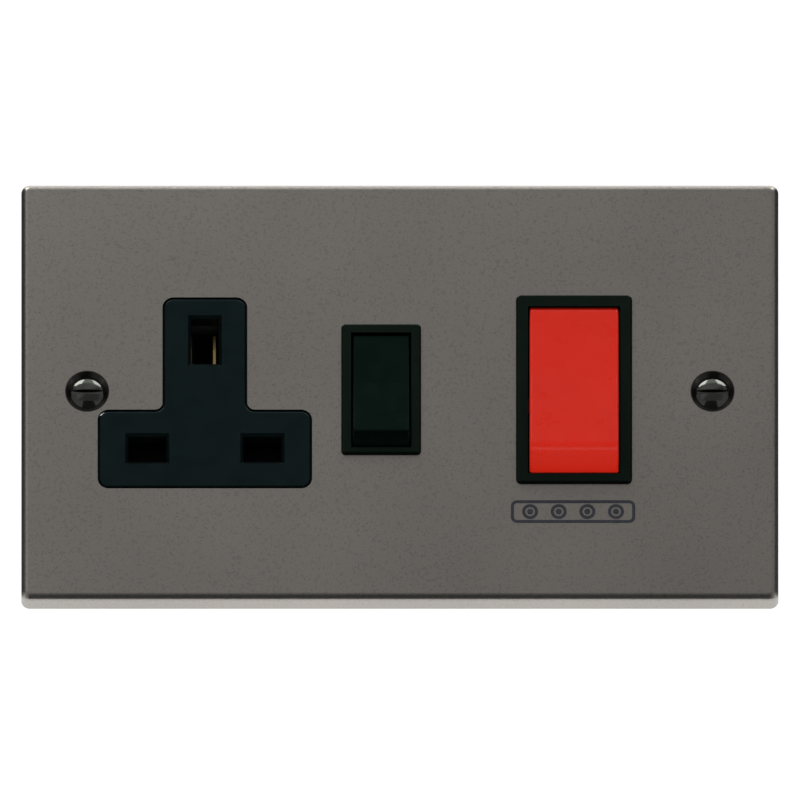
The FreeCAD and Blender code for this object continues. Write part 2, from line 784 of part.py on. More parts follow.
def add_block(body, x, width, z_low, z_high, cables, bore, clamp):
    """Add a terminal block with its cable bores along Z and clamp holes from the back."""
    x_low, x_high = centred(x, width)
    box(body, x_low, x_high, BLOCK_FRONT, BLOCK_BACK, z_low, z_high)
    back = value(BLOCK_BACK)
    round_edges(body, "cover_edge", lambda edge: lies_at(edge, back), chamfer=True)
    for cable in cables:
        rod(body, "XY", cable, CABLE_Y, bore, z_low, f"({z_high}) - ({z_low})", cut=True)
        rod(body, "XZ", cable, f"(({z_low}) + ({z_high})) / 2", clamp, CABLE_Y,
            f"{BLOCK_BACK} - {CABLE_Y}", cut=True)


def build_feed_terminal(label, pole):
    """Build a feed terminal: block, strip into the well and fixed contact."""
    body = new_body(label)
    add_block(body, pole, "block_width", "block_inner", BLOCK_OUTER, [pole], "cable_radius",
              "clamp_radius + pivot_gap")
    x_low, x_high = centred(pole, "arm_width")
    box(body, x_low, x_high, LAYER_A, f"{LAYER_A} + strip_thick", "tip_level - rivet_radius", "block_inner")
    add_rivet(body, pole, "tip_level")
    return body


def build_load_terminal(label, pole):
    """Build a load terminal: block, strip under the arm and the arm's cradle."""
    body = new_body(label)
    add_block(body, pole, "block_width", f"0 - {BLOCK_OUTER}", "0 - block_inner", [pole], "cable_radius",
              "clamp_radius + pivot_gap")
    x_low, x_high = centred(pole, "arm_width")
    box(body, x_low, x_high, LAYER_A, f"{LAYER_A} + strip_thick", "0 - block_inner", "cradle_half")
    add_cradle(body, pole, "arm_width")
    return body


def earth_cables():
    """Return the places of the two earth cables."""
    return list(centred("earth_x", "earth_cable_pitch"))


def build_earth_terminal():
    """Build the double earth terminal block."""
    body = new_body("earth_terminal")
    add_block(body, "earth_x", "earth_block_width", "earth_block_inner", BLOCK_OUTER, earth_cables(),
              "earth_cable_radius", "earth_clamp_radius + pivot_gap")
    return body


def build_line_link():
    """Build the strip from the line feed to the fixed contact of the 13 A switch."""
    body = new_body("line_link")
    top = "(block_inner - strip_gap)"
    x_low, x_high = centred("small_x", "small_arm_width")
    extrude_outline(body, "XZ", LAYER_A, "strip_thick", [
        (x_low, "tip_level - rivet_radius"), (x_high, "tip_level - rivet_radius"),
        (x_high, f"{top} - strip_width"), (f"{LINE_POLE} - arm_width / 2", f"{top} - strip_width"),
        (f"{LINE_POLE} - arm_width / 2", top), (x_low, top),
    ])
    add_rivet(body, "small_x", "tip_level")
    return body


def build_switch_link():
    """Build the strip from the 13 A arm's cradle to the line contact of the socket."""
    body = new_body("switch_link")
    x_low, x_high = centred("small_x", "small_arm_width")
    left = f"({LINE_X} - jaw_width / 2)"
    z_low, z_high = centred("line_level", "strip_width + strip_thick")
    extrude_outline(body, "XZ", LAYER_A, "strip_thick", [
        (left, z_low), (x_high, z_low), (x_high, "cradle_half"),
        (x_low, "cradle_half"), (x_low, z_high), (left, z_high),
    ])
    add_cradle(body, "small_x", "small_arm_width")
    return body


def build_neutral_link():
    """Build the strip from the neutral feed along the back to the neutral contact of the socket."""
    body = new_body("neutral_link")
    z_low, z_high = centred("line_level", "strip_width + strip_thick")
    x_low, x_high = centred(NEUTRAL_POLE, "strip_width + strip_thick")
    left = f"({NEUTRAL_X} - link_rivet - strip_thick)"
    extrude_outline(body, "XZ", LAYER_B, "strip_thick", [
        (left, z_low), (x_high, z_low), (x_high, "block_inner"),
        (x_low, "block_inner"), (x_low, z_high), (left, z_high),
    ])
    rod(body, "XZ", NEUTRAL_X, "line_level", "link_rivet", LAYER_A, f"{LAYER_B} - {LAYER_A}")
    return body


def build_earth_link():
    """Build the strip from the earth terminal to the earth contact of the socket."""
    body = new_body("earth_link")
    z_low, z_high = centred("earth_level", "strip_width + strip_thick")
    x_low, x_high = centred("earth_x", "strip_width + strip_thick")
    left = "(insert_x - earth_jaw_shift - earth_jaw_base - strip_thick)"
    extrude_outline(body, "XZ", LAYER_B, "strip_thick", [
        (left, z_low), (x_high, z_low), (x_high, "earth_block_inner"),
        (x_low, "earth_block_inner"), (x_low, z_high), (left, z_high),
    ])
    return body


def jaw_outline(middle_level, back, mouth, pinch, base, thick):
    """Return the U outline of a pair of contact jaws, as depth and offset across the pin."""
    leaf = [
        ("jaw_front", f"({mouth})"), ("jaw_front + jaw_flare", f"({pinch})"),
        (f"{back} - {thick}", f"({base})"),
    ]
    upper = [(depth, f"{middle_level} + {offset}") for depth, offset in leaf]
    lower = [(depth, f"{middle_level} - {offset}") for depth, offset in reversed(leaf)]
    outer_leaf = [
        ("jaw_front", f"({mouth} + {thick})"), ("jaw_front + jaw_flare", f"({pinch} + {thick})"),
        (back, f"({base} + {thick})"),
    ]
    outer_lower = [(depth, f"{middle_level} - {offset}") for depth, offset in outer_leaf]
    outer_upper = [(depth, f"{middle_level} + {offset}") for depth, offset in reversed(outer_leaf)]
    return upper + lower + outer_lower + outer_upper


def build_line_contact(label, x):
    """Build the line or neutral contact of the socket, open towards the face."""
    body = new_body(label)
    outline = jaw_outline("line_level", LAYER_A, "jaw_mouth", "jaw_pinch", "jaw_base", "jaw_thick")
    x_low, _ = centred(x, "jaw_width")
    extrude_outline(body, "YZ", x_low, "jaw_width", outline)
    return body


def build_earth_contact():
    """Build the earth contact of the socket, whose jaws grip the pin from left and right."""
    body = new_body("earth_contact")
    outline = jaw_outline(
        "(insert_x - earth_jaw_shift)", LAYER_B, "earth_jaw_mouth", "earth_jaw_pinch", "earth_jaw_base",
        "earth_jaw_thick",
    )
    z_low, _ = centred("earth_level", "earth_jaw_width")
    turned = [(across, depth) for depth, across in outline]
    extrude_outline(body, "XY", z_low, "earth_jaw_width", turned)
    return body


def build_shutter():
    """Build the safety shutter: blanking bar, neck, ramp for the earth pin and spring seat."""
    body = new_body("shutter")
    half_bar = "((pin_pitch + line_slot_width) / 2 + shutter_side)"
    box(body, f"insert_x - {half_bar}", f"insert_x + {half_bar}", SHUTTER_FRONT, SHUTTER_BACK,
        SHUTTER_BOTTOM, SHUTTER_TOP)
    round_edges(body, "shutter_side", lambda edge: runs_along(edge, AXIS_Y))
    x_low, x_high = centred("insert_x", "neck_width")
    box(body, x_low, x_high, SHUTTER_FRONT, SHUTTER_BACK, SHUTTER_BOTTOM, "neck_top")
    x_low, _ = centred("insert_x", "ramp_width")
    back = f"({SHUTTER_FRONT} + ramp_depth)"
    extrude_outline(body, "YZ", x_low, "ramp_width", [
        (SHUTTER_FRONT, "neck_top - shutter_thick"), (SHUTTER_FRONT, "neck_top + ramp_land"),
        (f"{back} - ramp_land", "ramp_top"), (back, "ramp_top"), (back, "neck_top - shutter_thick"),
    ])
    x_low, x_high = centred("insert_x", "spring_seat_width")
    box(body, x_low, x_high, SHUTTER_FRONT, f"{SHUTTER_FRONT} + spring_seat_depth",
        SHUTTER_BOTTOM, f"{SHUTTER_BOTTOM} + spring_seat_height")
    rod(body, "XY", "insert_x", SPRING_Y, "spigot_radius", f"{SHUTTER_BOTTOM} - spigot_length",
        "spigot_length + spring_seat_height")
    return body


def build_shutter_spring():
    """Build the spring that lifts the shutter."""
    foot = Vector(value("insert_x"), value(SPRING_Y), value(SPRING_FOOT))
    return coil("shutter_spring", foot, AXIS_Z, value("spring_length"), value("spring_radius"))


def build_rear_housing():
    """Build the moulded housing: flange, two blocks, wells, contact chambers and strip channels."""
    body = new_body("rear_housing")
    x_low, x_high = centred("0", "housing_width")
    z_low, z_high = centred("0", "housing_height")
    flange_back = f"({SEAT} + flange_thick)"
    box(body, x_low, x_high, SEAT, flange_back, z_low, z_high)
    round_edges(body, "flange_corner", lambda edge: runs_along(edge, AXIS_Y))
    box(body, x_low, "switch_block_right", flange_back, HOUSING_BACK,
        "0 - socket_block_half", "socket_block_half")
    box(body, "socket_block_right", "switch_block_right", flange_back, HOUSING_BACK, z_low, z_high)
    back = value(HOUSING_BACK)
    step_x = value("socket_block_right")
    step_z = value("socket_block_half")
    round_edges(
        body, "body_corner",
        lambda edge: runs_along(edge, AXIS_Y) and near(edge.BoundBox.YMax, back)
        and not (near(middle(edge).x, step_x) and near(abs(middle(edge).z), step_z)),
    )
    add_gussets(body, flange_back)
    cut_fixings(body, flange_back)
    cut_socket(body)
    cut_switches(body)
    cut_terminals(body)
    cut_channels(body)
    cut_cover_holes(body, f"{HOUSING_BACK} - cover_screw_reach - strip_gap", "cover_screw_reach + 1",
                    "screw_radius + pivot_gap")
    return body


def add_gussets(body, flange_back):
    """Add three stiffening gussets above and three below the socket's block."""
    for place_number in ("-1", "0", "1"):
        x_low, _ = centred(f"insert_x + {place_number} * gusset_pitch", "gusset_thick")
        for side in ("-1", "1"):
            root = f"{side} * socket_block_half"
            extrude_outline(body, "YZ", x_low, "gusset_thick", [
                (SEAT, root), (f"{flange_back} + gusset_depth", root),
                (flange_back, f"{side} * (socket_block_half + gusset_height)"),
                (SEAT, f"{side} * (socket_block_half + gusset_height)"),
            ])


def cut_fixings(body, flange_back):
    """Cut the four screw holes of the flange."""
    sketch = new_sketch(body, "XZ", SEAT)
    for side in ("-1", "1"):
        for end in ("-1", "1"):
            add_circle(sketch, f"{side} * stud_x", f"{end} * stud_z", "screw_radius + 2 * cutout_gap")
    extrude(body, sketch, f"{flange_back} - {SEAT}", cut=True)


def cut_outlines(body, plane, start, end, outlines):
    """Pocket several separate outlines between the same two levels."""
    sketch = new_sketch(body, plane, start)
    for outline in outlines:
        add_outline(sketch, outline)
    extrude(body, sketch, f"({end}) - ({start})", cut=True)


def cut_socket(body):
    """Cut the shutter's guide, the spring's pocket and the three contact chambers."""
    bar_low, bar_high = centred("insert_x", "pin_pitch + line_slot_width + 2 * (shutter_side + room_gap)")
    neck_low, neck_high = centred("insert_x", "neck_width + 2 * room_gap")
    bottom = f"{SHUTTER_BOTTOM} - shutter_travel - room_gap"
    shoulder = f"{SHUTTER_TOP} + room_gap"
    guide_back = f"({SHUTTER_BACK} + shutter_gap)"
    cut_outlines(body, "XZ", SEAT, guide_back, [[
        (bar_low, bottom), (bar_high, bottom), (bar_high, shoulder), (neck_high, shoulder),
        (neck_high, "earth_level"), (neck_low, "earth_level"), (neck_low, shoulder), (bar_low, shoulder),
    ]])
    x_low, x_high = centred("insert_x", "ramp_width + 2 * room_gap")
    box(body, x_low, x_high, SEAT, f"{SHUTTER_FRONT} + ramp_depth + room_gap",
        "neck_top - shutter_thick - shutter_travel - room_gap", "earth_level", cut=True)
    x_low, x_high = centred("insert_x", "spring_seat_width + 2 * room_gap")
    box(body, x_low, x_high, SEAT, f"{SHUTTER_FRONT} + spring_seat_depth + room_gap", SPRING_FOOT,
        f"{SHUTTER_BOTTOM} + spring_seat_height + room_gap", cut=True)
    for x, back in ((LINE_X, WELL_FLOOR), (NEUTRAL_X, LAYER_A)):
        x_low, x_high = centred(x, "jaw_width + 2 * well_gap")
        z_low, z_high = centred("line_level", "2 * (jaw_mouth + jaw_thick + well_gap)")
        box(body, x_low, x_high, SEAT, back, z_low, z_high, cut=True)
    x_low, x_high = centred(
        "insert_x - earth_jaw_shift", "2 * (earth_jaw_base + earth_jaw_thick + well_gap)"
    )
    z_low, z_high = centred("earth_level", "earth_jaw_width + 2 * well_gap")
    box(body, x_low, x_high, SEAT, LAYER_B, z_low, z_high, cut=True)


def cut_switches(body):
    """Cut the room of both rockers with their cheeks and tubes, and the well of each arm."""
    for kind in ("small", "big"):
        x_low, x_high = centred(f"{kind}_x", f"{kind}_rocker_width + 2 * rocker_gap")
        swing = f"({kind}_rocker_radius * sin({kind}_tilt) + room_gap)"
        rocker_back = f"({kind}_pivot_depth - plate_depth - {kind}_skirt + {swing} + room_gap)"
        z_low, z_high = centred("0", f"2 * ({kind}_rocker_radius + room_gap)")
        box(body, x_low, x_high, SEAT, rocker_back, z_low, z_high, cut=True)
        across = f"{kind}_rocker_width + 2 * (rocker_gap + cheek_wall + room_gap)"
        x_low, x_high = centred(f"{kind}_x", across)
        z_low, z_high = centred("0", "cheek_height + 2 * room_gap")
        box(body, x_low, x_high, SEAT, f"{kind}_cheek_reach + room_gap", z_low, z_high, cut=True)
    tube_room = "2 * (plunger_radius + pivot_gap + plunger_wall + well_gap)"
    rooms = [centred("small_x", tube_room), centred("big_x", f"pole_pitch + {tube_room}")]
    wells = [
        centred("small_x", "small_arm_width + 2 * well_gap"),
        centred(LINE_POLE, "arm_width + 2 * well_gap"),
        centred(NEUTRAL_POLE, "arm_width + 2 * well_gap"),
    ]
    for spans, back in ((rooms, "tube_end + well_gap"), (wells, WELL_FLOOR)):
        outlines = [corners(low, high, "0 - well_bottom", "well_top") for low, high in spans]
        cut_outlines(body, "XZ", SEAT, back, outlines)


def cut_terminals(body):
    """Cut the terminal chambers from the back, their cable entries and the slot of the earth strap."""
    front = f"({BLOCK_FRONT} - strip_gap)"
    outer = f"({BLOCK_OUTER} + strip_gap)"
    inner = "(block_inner - strip_gap)"
    chambers = []
    for pole in (LINE_POLE, NEUTRAL_POLE):
        x_low, x_high = centred(pole, "block_width + 2 * strip_gap")
        chambers.append(corners(x_low, x_high, inner, outer))
        chambers.append(corners(x_low, x_high, f"0 - {outer}", f"0 - {inner}"))
    x_low, x_high = centred("earth_x", "earth_block_width + 2 * strip_gap")
    chambers.append(corners(x_low, x_high, "earth_block_inner - strip_gap", outer))
    cut_outlines(body, "XZ", front, f"{HOUSING_BACK} + cut_over", chambers)
    upper = new_sketch(body, "XY", "earth_block_inner")
    lower = new_sketch(body, "XY", "0 - housing_height")
    for pole in (LINE_POLE, NEUTRAL_POLE):
        add_circle(upper, pole, CABLE_Y, "cable_radius + room_gap")
        add_circle(lower, pole, CABLE_Y, "cable_radius + room_gap")
    for cable in earth_cables():
        add_circle(upper, cable, CABLE_Y, "earth_cable_radius + room_gap")
    extrude(body, upper, "housing_height", cut=True)
    extrude(body, lower, "housing_height - block_inner", cut=True)
    rim = value("housing_height / 2")
    round_edges(
        body, "entry_edge",
        lambda edge: isinstance(edge.Curve, Part.Circle) and near(abs(middle(edge).z), rim)
        and near(edge.BoundBox.ZLength, 0), chamfer=True,
    )
    x_low, x_high = centred("earth_x", "strap_width + 2 * strip_gap")
    box(body, x_low, x_high, front, CABLE_Y, BLOCK_OUTER, "housing_height", cut=True)


def cut_cover_holes(body, start, length, radius):
    """Cut the holes of the two cover screws."""
    sketch = new_sketch(body, "XZ", start)
    for x in ("cover_screw_left", "cover_screw_right"):
        add_circle(sketch, x, "cover_screw_z", radius)
    extrude(body, sketch, length, cut=True)


def cut_channels(body):
    """Cut the channels for the strips from the back, each as its strip's outline with a gap around."""
    depth = f"({HOUSING_BACK} + cut_over)"
    strip_low = "(tip_level - rivet_radius - strip_gap)"
    inner = "(block_inner + strip_gap)"
    pivot_high = "(cradle_half + strip_gap)"
    small_low, small_high = centred("small_x", "small_arm_width + 2 * strip_gap")
    line_low, line_high = centred(LINE_POLE, "arm_width + 2 * strip_gap")
    neutral_low, neutral_high = centred(NEUTRAL_POLE, "arm_width + 2 * strip_gap")
    link_low = "(block_inner - strip_width - 2 * strip_gap)"
    level_low, level_high = centred("line_level", "strip_width + strip_thick + 2 * strip_gap")
    contact_left = f"({LINE_X} - jaw_width / 2 - strip_gap)"
    cut_outlines(body, "XZ", f"{LAYER_A} - strip_gap", depth, [
        [
            (small_low, strip_low), (small_high, strip_low), (small_high, link_low), (line_low, link_low),
            (line_low, strip_low), (line_high, strip_low), (line_high, inner), (small_low, inner),
        ],
        corners(neutral_low, neutral_high, strip_low, inner),
        corners(line_low, line_high, f"0 - {inner}", pivot_high),
        corners(neutral_low, neutral_high, f"0 - {inner}", pivot_high),
        [
            (contact_left, level_low), (small_high, level_low), (small_high, pivot_high),
            (small_low, pivot_high), (small_low, level_high), (contact_left, level_high),
        ],
    ])
    neutral_left = f"({NEUTRAL_X} - link_rivet - strip_thick - strip_gap)"
    neutral_low, neutral_high = centred(NEUTRAL_POLE, "strip_width + strip_thick + 2 * strip_gap")
    earth_left = "(insert_x - earth_jaw_shift - earth_jaw_base - strip_thick - strip_gap)"
    earth_low, earth_high = centred("earth_x", "strip_width + strip_thick + 2 * strip_gap")
    earth_bottom, earth_top = centred("earth_level", "strip_width + strip_thick + 2 * strip_gap")
    earth_inner = "(earth_block_inner + strip_gap)"
    cut_outlines(body, "XZ", f"{LAYER_B} - strip_gap", depth, [
        [
            (neutral_left, level_low), (neutral_high, level_low), (neutral_high, inner),
            (neutral_low, inner), (neutral_low, level_high), (neutral_left, level_high),
        ],
        [
            (earth_left, earth_bottom), (earth_high, earth_bottom), (earth_high, earth_inner),
            (earth_low, earth_inner), (earth_low, earth_top), (earth_left, earth_top),
        ],
    ])
    rod(body, "XZ", NEUTRAL_X, "line_level", "link_rivet + strip_gap", LAYER_A,
        f"{LAYER_B} - {LAYER_A}", cut=True)


def build_back_cover():
    """Build the cover over the strip channels."""
    body = new_body("back_cover")
    x_low = "0 - housing_width / 2 + body_corner"
    x_high = "switch_block_right - body_corner"
    box(body, x_low, x_high, HOUSING_BACK, f"{HOUSING_BACK} + cover_thick", "0 - cover_half", "cover_half")
    round_edges(body, "body_corner", lambda edge: runs_along(edge, AXIS_Y))
    back = value(f"{HOUSING_BACK} + cover_thick")
    round_edges(body, "cover_edge", lambda edge: lies_at(edge, back), chamfer=True)
    panel = corners("panel_left", "panel_right", "0 - panel_half", "panel_half")
    floor = f"({HOUSING_BACK} + cover_thick - panel_depth)"
    extrude_outline(body, "XZ", floor, "panel_depth", panel, cut=True)
    deep = value(floor)
    round_edges(
        body, "panel_corner",
        lambda edge: runs_along(edge, AXIS_Y) and near(edge.BoundBox.YMin, deep),
    )
    cut_cover_holes(body, HOUSING_BACK, "cover_thick", "screw_radius + cutout_gap")
    return body


def turned_screw(label, points, domed, slot_across, slot_back, slot_depth, x, y, z):
    """Build a screw turned about its own Y axis, slotted across its head, and put it in place."""
    body = new_body(label)
    revolve(body, points, domed)
    x_low, x_high = centred("0", f"{slot_across} + cut_over")
    z_low, z_high = centred("0", "slot_width")
    box(body, x_low, x_high, f"{slot_back} - {slot_depth}", slot_back, z_low, z_high, cut=True)
    place(body, x, y, z)
    return body


def build_clamp_screw(label, x, z, radius, head):
    """Build a terminal screw whose flat end stops just short of the cable bore."""
    seat = "(cable_depth + clamp_head_height)"
    return turned_screw(label, [
        ("0", "cable_radius + pivot_gap"), (f"{radius} - clamp_point", "cable_radius + pivot_gap"),
        (radius, "cable_radius + pivot_gap + clamp_point"), (radius, "cable_depth"), (head, "cable_depth"),
        (head, f"{seat} - clamp_head_edge"), (f"{head} - clamp_head_edge", seat), ("0", seat),
    ], (), f"2 * {head}", seat, "clamp_slot_depth", x, CABLE_Y, z)


def build_housing_screw(label, x, z):
    """Build a pan-head screw through the flange into its stud."""
    head = "(flange_thick + screw_head_height)"
    return turned_screw(label, [
        ("0", "0 - screw_reach"), ("screw_radius - screw_point", "0 - screw_reach"),
        ("screw_radius", "screw_point - screw_reach"), ("screw_radius", "flange_thick"),
        ("screw_head", "flange_thick"), ("screw_head", "flange_thick + screw_head_height / 2"), ("0", head),
    ], (5,), "2 * screw_head", head, "screw_slot_depth", x, SEAT, z)


def build_cover_screw(label, x, z):
    """Build a short screw that holds the back cover."""
    head = "(cover_thick + screw_head_height)"
    return turned_screw(label, [
        ("0", "0 - cover_screw_reach"), ("screw_radius - screw_point", "0 - cover_screw_reach"),
        ("screw_radius", "screw_point - cover_screw_reach"), ("screw_radius", "cover_thick"),
        ("screw_head", "cover_thick"), ("screw_head", "cover_thick + screw_head_height / 2"), ("0", head),
    ], (5,), "2 * screw_head", head, "screw_slot_depth", x, HOUSING_BACK, z)


def build_fixing_screw(label, side):
    """Build a wall fixing screw in its sunk seat, its slot level, its free end behind the wall plane."""
    body = new_body(label)
    cone_slope = "((sink_radius - fixing_hole) / sink_depth)"
    rim = f"((sink_radius - fixing_head) / {cone_slope} - pivot_gap)"
    neck = f"({rim} + (fixing_head - fixing_radius) / {cone_slope})"
    revolve(body, [
        ("0", "fixing_length"), ("fixing_radius - fixing_point", "fixing_length"),
        ("fixing_radius", "fixing_length - fixing_point"),
        ("fixing_radius", neck), ("fixing_head", rim), ("0", f"{rim} - fixing_dome"),
    ], domed=(4,))
    x_low, x_high = centred("0", "2 * fixing_head + cut_over")
    z_low, z_high = centred("0", "slot_width")
    box(body, x_low, x_high, f"{rim} - fixing_dome - cut_over", f"{rim} - fixing_dome + fixing_slot_depth",
        z_low, z_high, cut=True)
    place(body, f"{side} * fixing_pitch / 2", FACE, "0")
    return body


def build_stud(label, x, z):
    """Build a threaded stud staked to the back of the plate."""
    body = new_body(label)
    revolve(body, [
        ("stud_hole", SHEET_BACK), ("stud_radius", SHEET_BACK), ("stud_radius", SEAT), ("stud_hole", SEAT),
    ])
    place(body, x, "0", z)
    return body


def build_earth_strap():
    """Build the bent strap from the earth terminal round the housing's edge to the plate."""
    body = new_body("earth_strap")
    top = "(housing_height / 2 + strap_lift)"
    front = SHEET_BACK
    end = f"({BLOCK_FRONT} + strap_lap)"
    x_low, _ = centred("earth_x", "strap_width")
    extrude_outline(body, "YZ", x_low, "strap_width", [
        (front, f"{top} + strap_foot"), (front, top), (f"{end} - strap_thick", top),
        (f"{end} - strap_thick", BLOCK_OUTER), (end, BLOCK_OUTER), (end, f"{top} + strap_thick"),
        (f"{front} + strap_thick", f"{top} + strap_thick"), (f"{front} + strap_thick", f"{top} + strap_foot"),
    ])
    return body


def build_all():
    """Build every sub-part and return them."""
    parts = [
        build_front_plate(),
        build_socket_moulding(),
        build_switch_frame("small", "switch_frame_13a"),
        build_switch_frame("big", "switch_frame_45a"),
        build_rocker("small", "rocker_13a", ["0"]),
        build_rocker("big", "rocker_45a", ["0 - pole_pitch / 2", "pole_pitch / 2"]),
        build_plunger("small", "plunger_13a", "0"),
        build_plunger("big", "plunger_line_45a", "(0 - pole_pitch / 2)"),
        build_plunger("big", "plunger_neutral_45a", "(pole_pitch / 2)"),
        build_plunger_spring("small", "plunger_spring_13a", "0"),
        build_plunger_spring("big", "plunger_spring_line_45a", "(0 - pole_pitch / 2)"),
        build_plunger_spring("big", "plunger_spring_neutral_45a", "(pole_pitch / 2)"),
        build_contact_arm("contact_arm_13a", "small_x", "small_arm_width"),
        build_contact_arm("contact_arm_line_45a", LINE_POLE, "arm_width"),
        build_contact_arm("contact_arm_neutral_45a", NEUTRAL_POLE, "arm_width"),
        build_feed_terminal("feed_terminal_line", LINE_POLE),
        build_feed_terminal("feed_terminal_neutral", NEUTRAL_POLE),
        build_load_terminal("load_terminal_line", LINE_POLE),
        build_load_terminal("load_terminal_neutral", NEUTRAL_POLE),
        build_earth_terminal(),
        build_line_link(),
        build_switch_link(),
        build_neutral_link(),
        build_earth_link(),
        build_line_contact("line_contact", LINE_X),
        build_line_contact("neutral_contact", NEUTRAL_X),
        build_earth_contact(),
        build_shutter(),
        build_shutter_spring(),
        build_rear_housing(),
        build_back_cover(),
        build_cover_screw("cover_screw_left", "cover_screw_left", "cover_screw_z"),
        build_cover_screw("cover_screw_right", "cover_screw_right", "cover_screw_z"),
        build_earth_strap(),
        build_fixing_screw("fixing_screw_left", "-1"),
        build_fixing_screw("fixing_screw_right", "1"),
    ]
    block_middle = "(block_inner + block_height / 2)"
    for name, pole in (("line", LINE_POLE), ("neutral", NEUTRAL_POLE)):
        for group, sign in (("feed", "1"), ("load", "-1")):
            label = f"{group}_clamp_screw_{name}"
            level = f"{sign} * {block_middle}"
            parts.append(build_clamp_screw(label, pole, level, "clamp_radius", "clamp_head"))
    earth_middle = f"(earth_block_inner + {BLOCK_OUTER}) / 2"
    for name, cable in zip(("left", "right"), earth_cables()):
        label = f"earth_clamp_screw_{name}"
        parts.append(build_clamp_screw(label, cable, earth_middle, "earth_clamp_radius", "earth_clamp_head"))
    for side_name, side in (("left", "-1"), ("right", "1")):
        for end_name, end in (("lower", "-1"), ("upper", "1")):
            spot = f"{side} * stud_x", f"{end} * stud_z"
            parts.append(build_stud(f"plate_stud_{end_name}_{side_name}", *spot))
            parts.append(build_housing_screw(f"housing_screw_{end_name}_{side_name}", *spot))
    return parts


def check_all(parts):
    """Stop unless every object is computed and every sub-part is one valid solid."""
    doc.recompute()
    for item in doc.Objects:
        if "Invalid" in item.State or "Error" in item.State:
            raise ValueError(f"{item.Label} failed: {item.State}")
    for part in parts:
        shape = part.Shape
        if shape.isNull() or not shape.isValid():
            raise ValueError(f"{part.Label} has no valid shape")
        if len(shape.Solids) != 1:
            raise ValueError(f"{part.Label} has {len(shape.Solids)} solids")


def export_all(parts):
    """Write each sub-part to its own file."""
    os.makedirs("parts", exist_ok=True)
    for part in parts:
        part.Shape.exportStep(f"parts/{part.Label}.step")
        print(f"{part.Label}: {part.Shape.Volume:.1f} cubic millimetres")


sub_parts = build_all()
check_all(sub_parts)
export_all(sub_parts)
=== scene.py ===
"""Cooker control unit: finishes, hob sign, threaded wall screws, spring and a pale studio."""

import logging
import math
from dataclasses import dataclass
from enum import Enum
from typing import Callable, Iterable, Protocol, Sequence

import bmesh
import bpy
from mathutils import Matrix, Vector


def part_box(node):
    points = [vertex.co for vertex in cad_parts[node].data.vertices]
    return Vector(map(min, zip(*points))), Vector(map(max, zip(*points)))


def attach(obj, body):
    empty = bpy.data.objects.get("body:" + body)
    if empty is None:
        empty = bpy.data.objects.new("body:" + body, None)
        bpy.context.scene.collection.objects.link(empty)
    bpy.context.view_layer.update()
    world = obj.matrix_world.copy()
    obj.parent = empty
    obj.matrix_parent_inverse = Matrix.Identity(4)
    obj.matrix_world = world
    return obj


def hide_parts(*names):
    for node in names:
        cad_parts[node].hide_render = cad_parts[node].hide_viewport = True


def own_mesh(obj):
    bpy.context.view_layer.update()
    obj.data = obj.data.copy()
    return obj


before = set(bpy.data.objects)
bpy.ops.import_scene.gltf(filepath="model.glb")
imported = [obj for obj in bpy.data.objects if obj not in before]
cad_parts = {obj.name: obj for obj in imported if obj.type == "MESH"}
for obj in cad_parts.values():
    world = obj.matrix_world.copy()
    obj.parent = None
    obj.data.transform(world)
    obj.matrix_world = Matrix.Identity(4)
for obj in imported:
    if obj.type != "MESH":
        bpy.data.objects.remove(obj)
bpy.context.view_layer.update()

logging.basicConfig(level=logging.INFO, format="%(name)s: %(message)s")
log = logging.getLogger("cooker_unit")

Colour = tuple[float, float, float]
Point = tuple[float, float, float]
Pair = tuple[float, float]
Piece = bpy.types.Object
Socket = bpy.types.NodeSocket
Tree = bpy.types.NodeTree

MM = 0.001
RIGHT_ANGLE = math.radians(90.0)
SMOOTH_ANGLE = math.radians(32.0)
# Corners closer than this are one corner.
WELD = 0.0005 * MM
PLASTIC_INDEX = 1.46
# Nearly all of a noise pattern lies between these two values.
PATTERN_ENDS = (0.3, 0.7)
# Sockets of the Mix node that carry colours.
MIX_UNDER, MIX_OVER, MIX_RESULT = 6, 7, 2
WHITE: Colour = (1.0, 1.0, 1.0)
# A face counts as facing along an axis when its normal has more than this of it.
FACING = 0.9


class Space(Enum):
    """Axis that a stretched pattern runs along."""

    ALONG_X = (0.06, 1.0, 1.0)
    ALONG_Y = (1.0, 0.06, 1.0)
    ALONG_Z = (1.0, 1.0, 0.06)
    EVEN = (1.0, 1.0, 1.0)


class Seen(Enum):
    """Kinds of ray that are shown the plain white background."""

    CAMERA = "Is Camera Ray"
    GLOSSY = "Is Glossy Ray"
    TRANSMISSION = "Is Transmission Ray"


class Body(Enum):
    """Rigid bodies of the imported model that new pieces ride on."""

    BASE = "base"


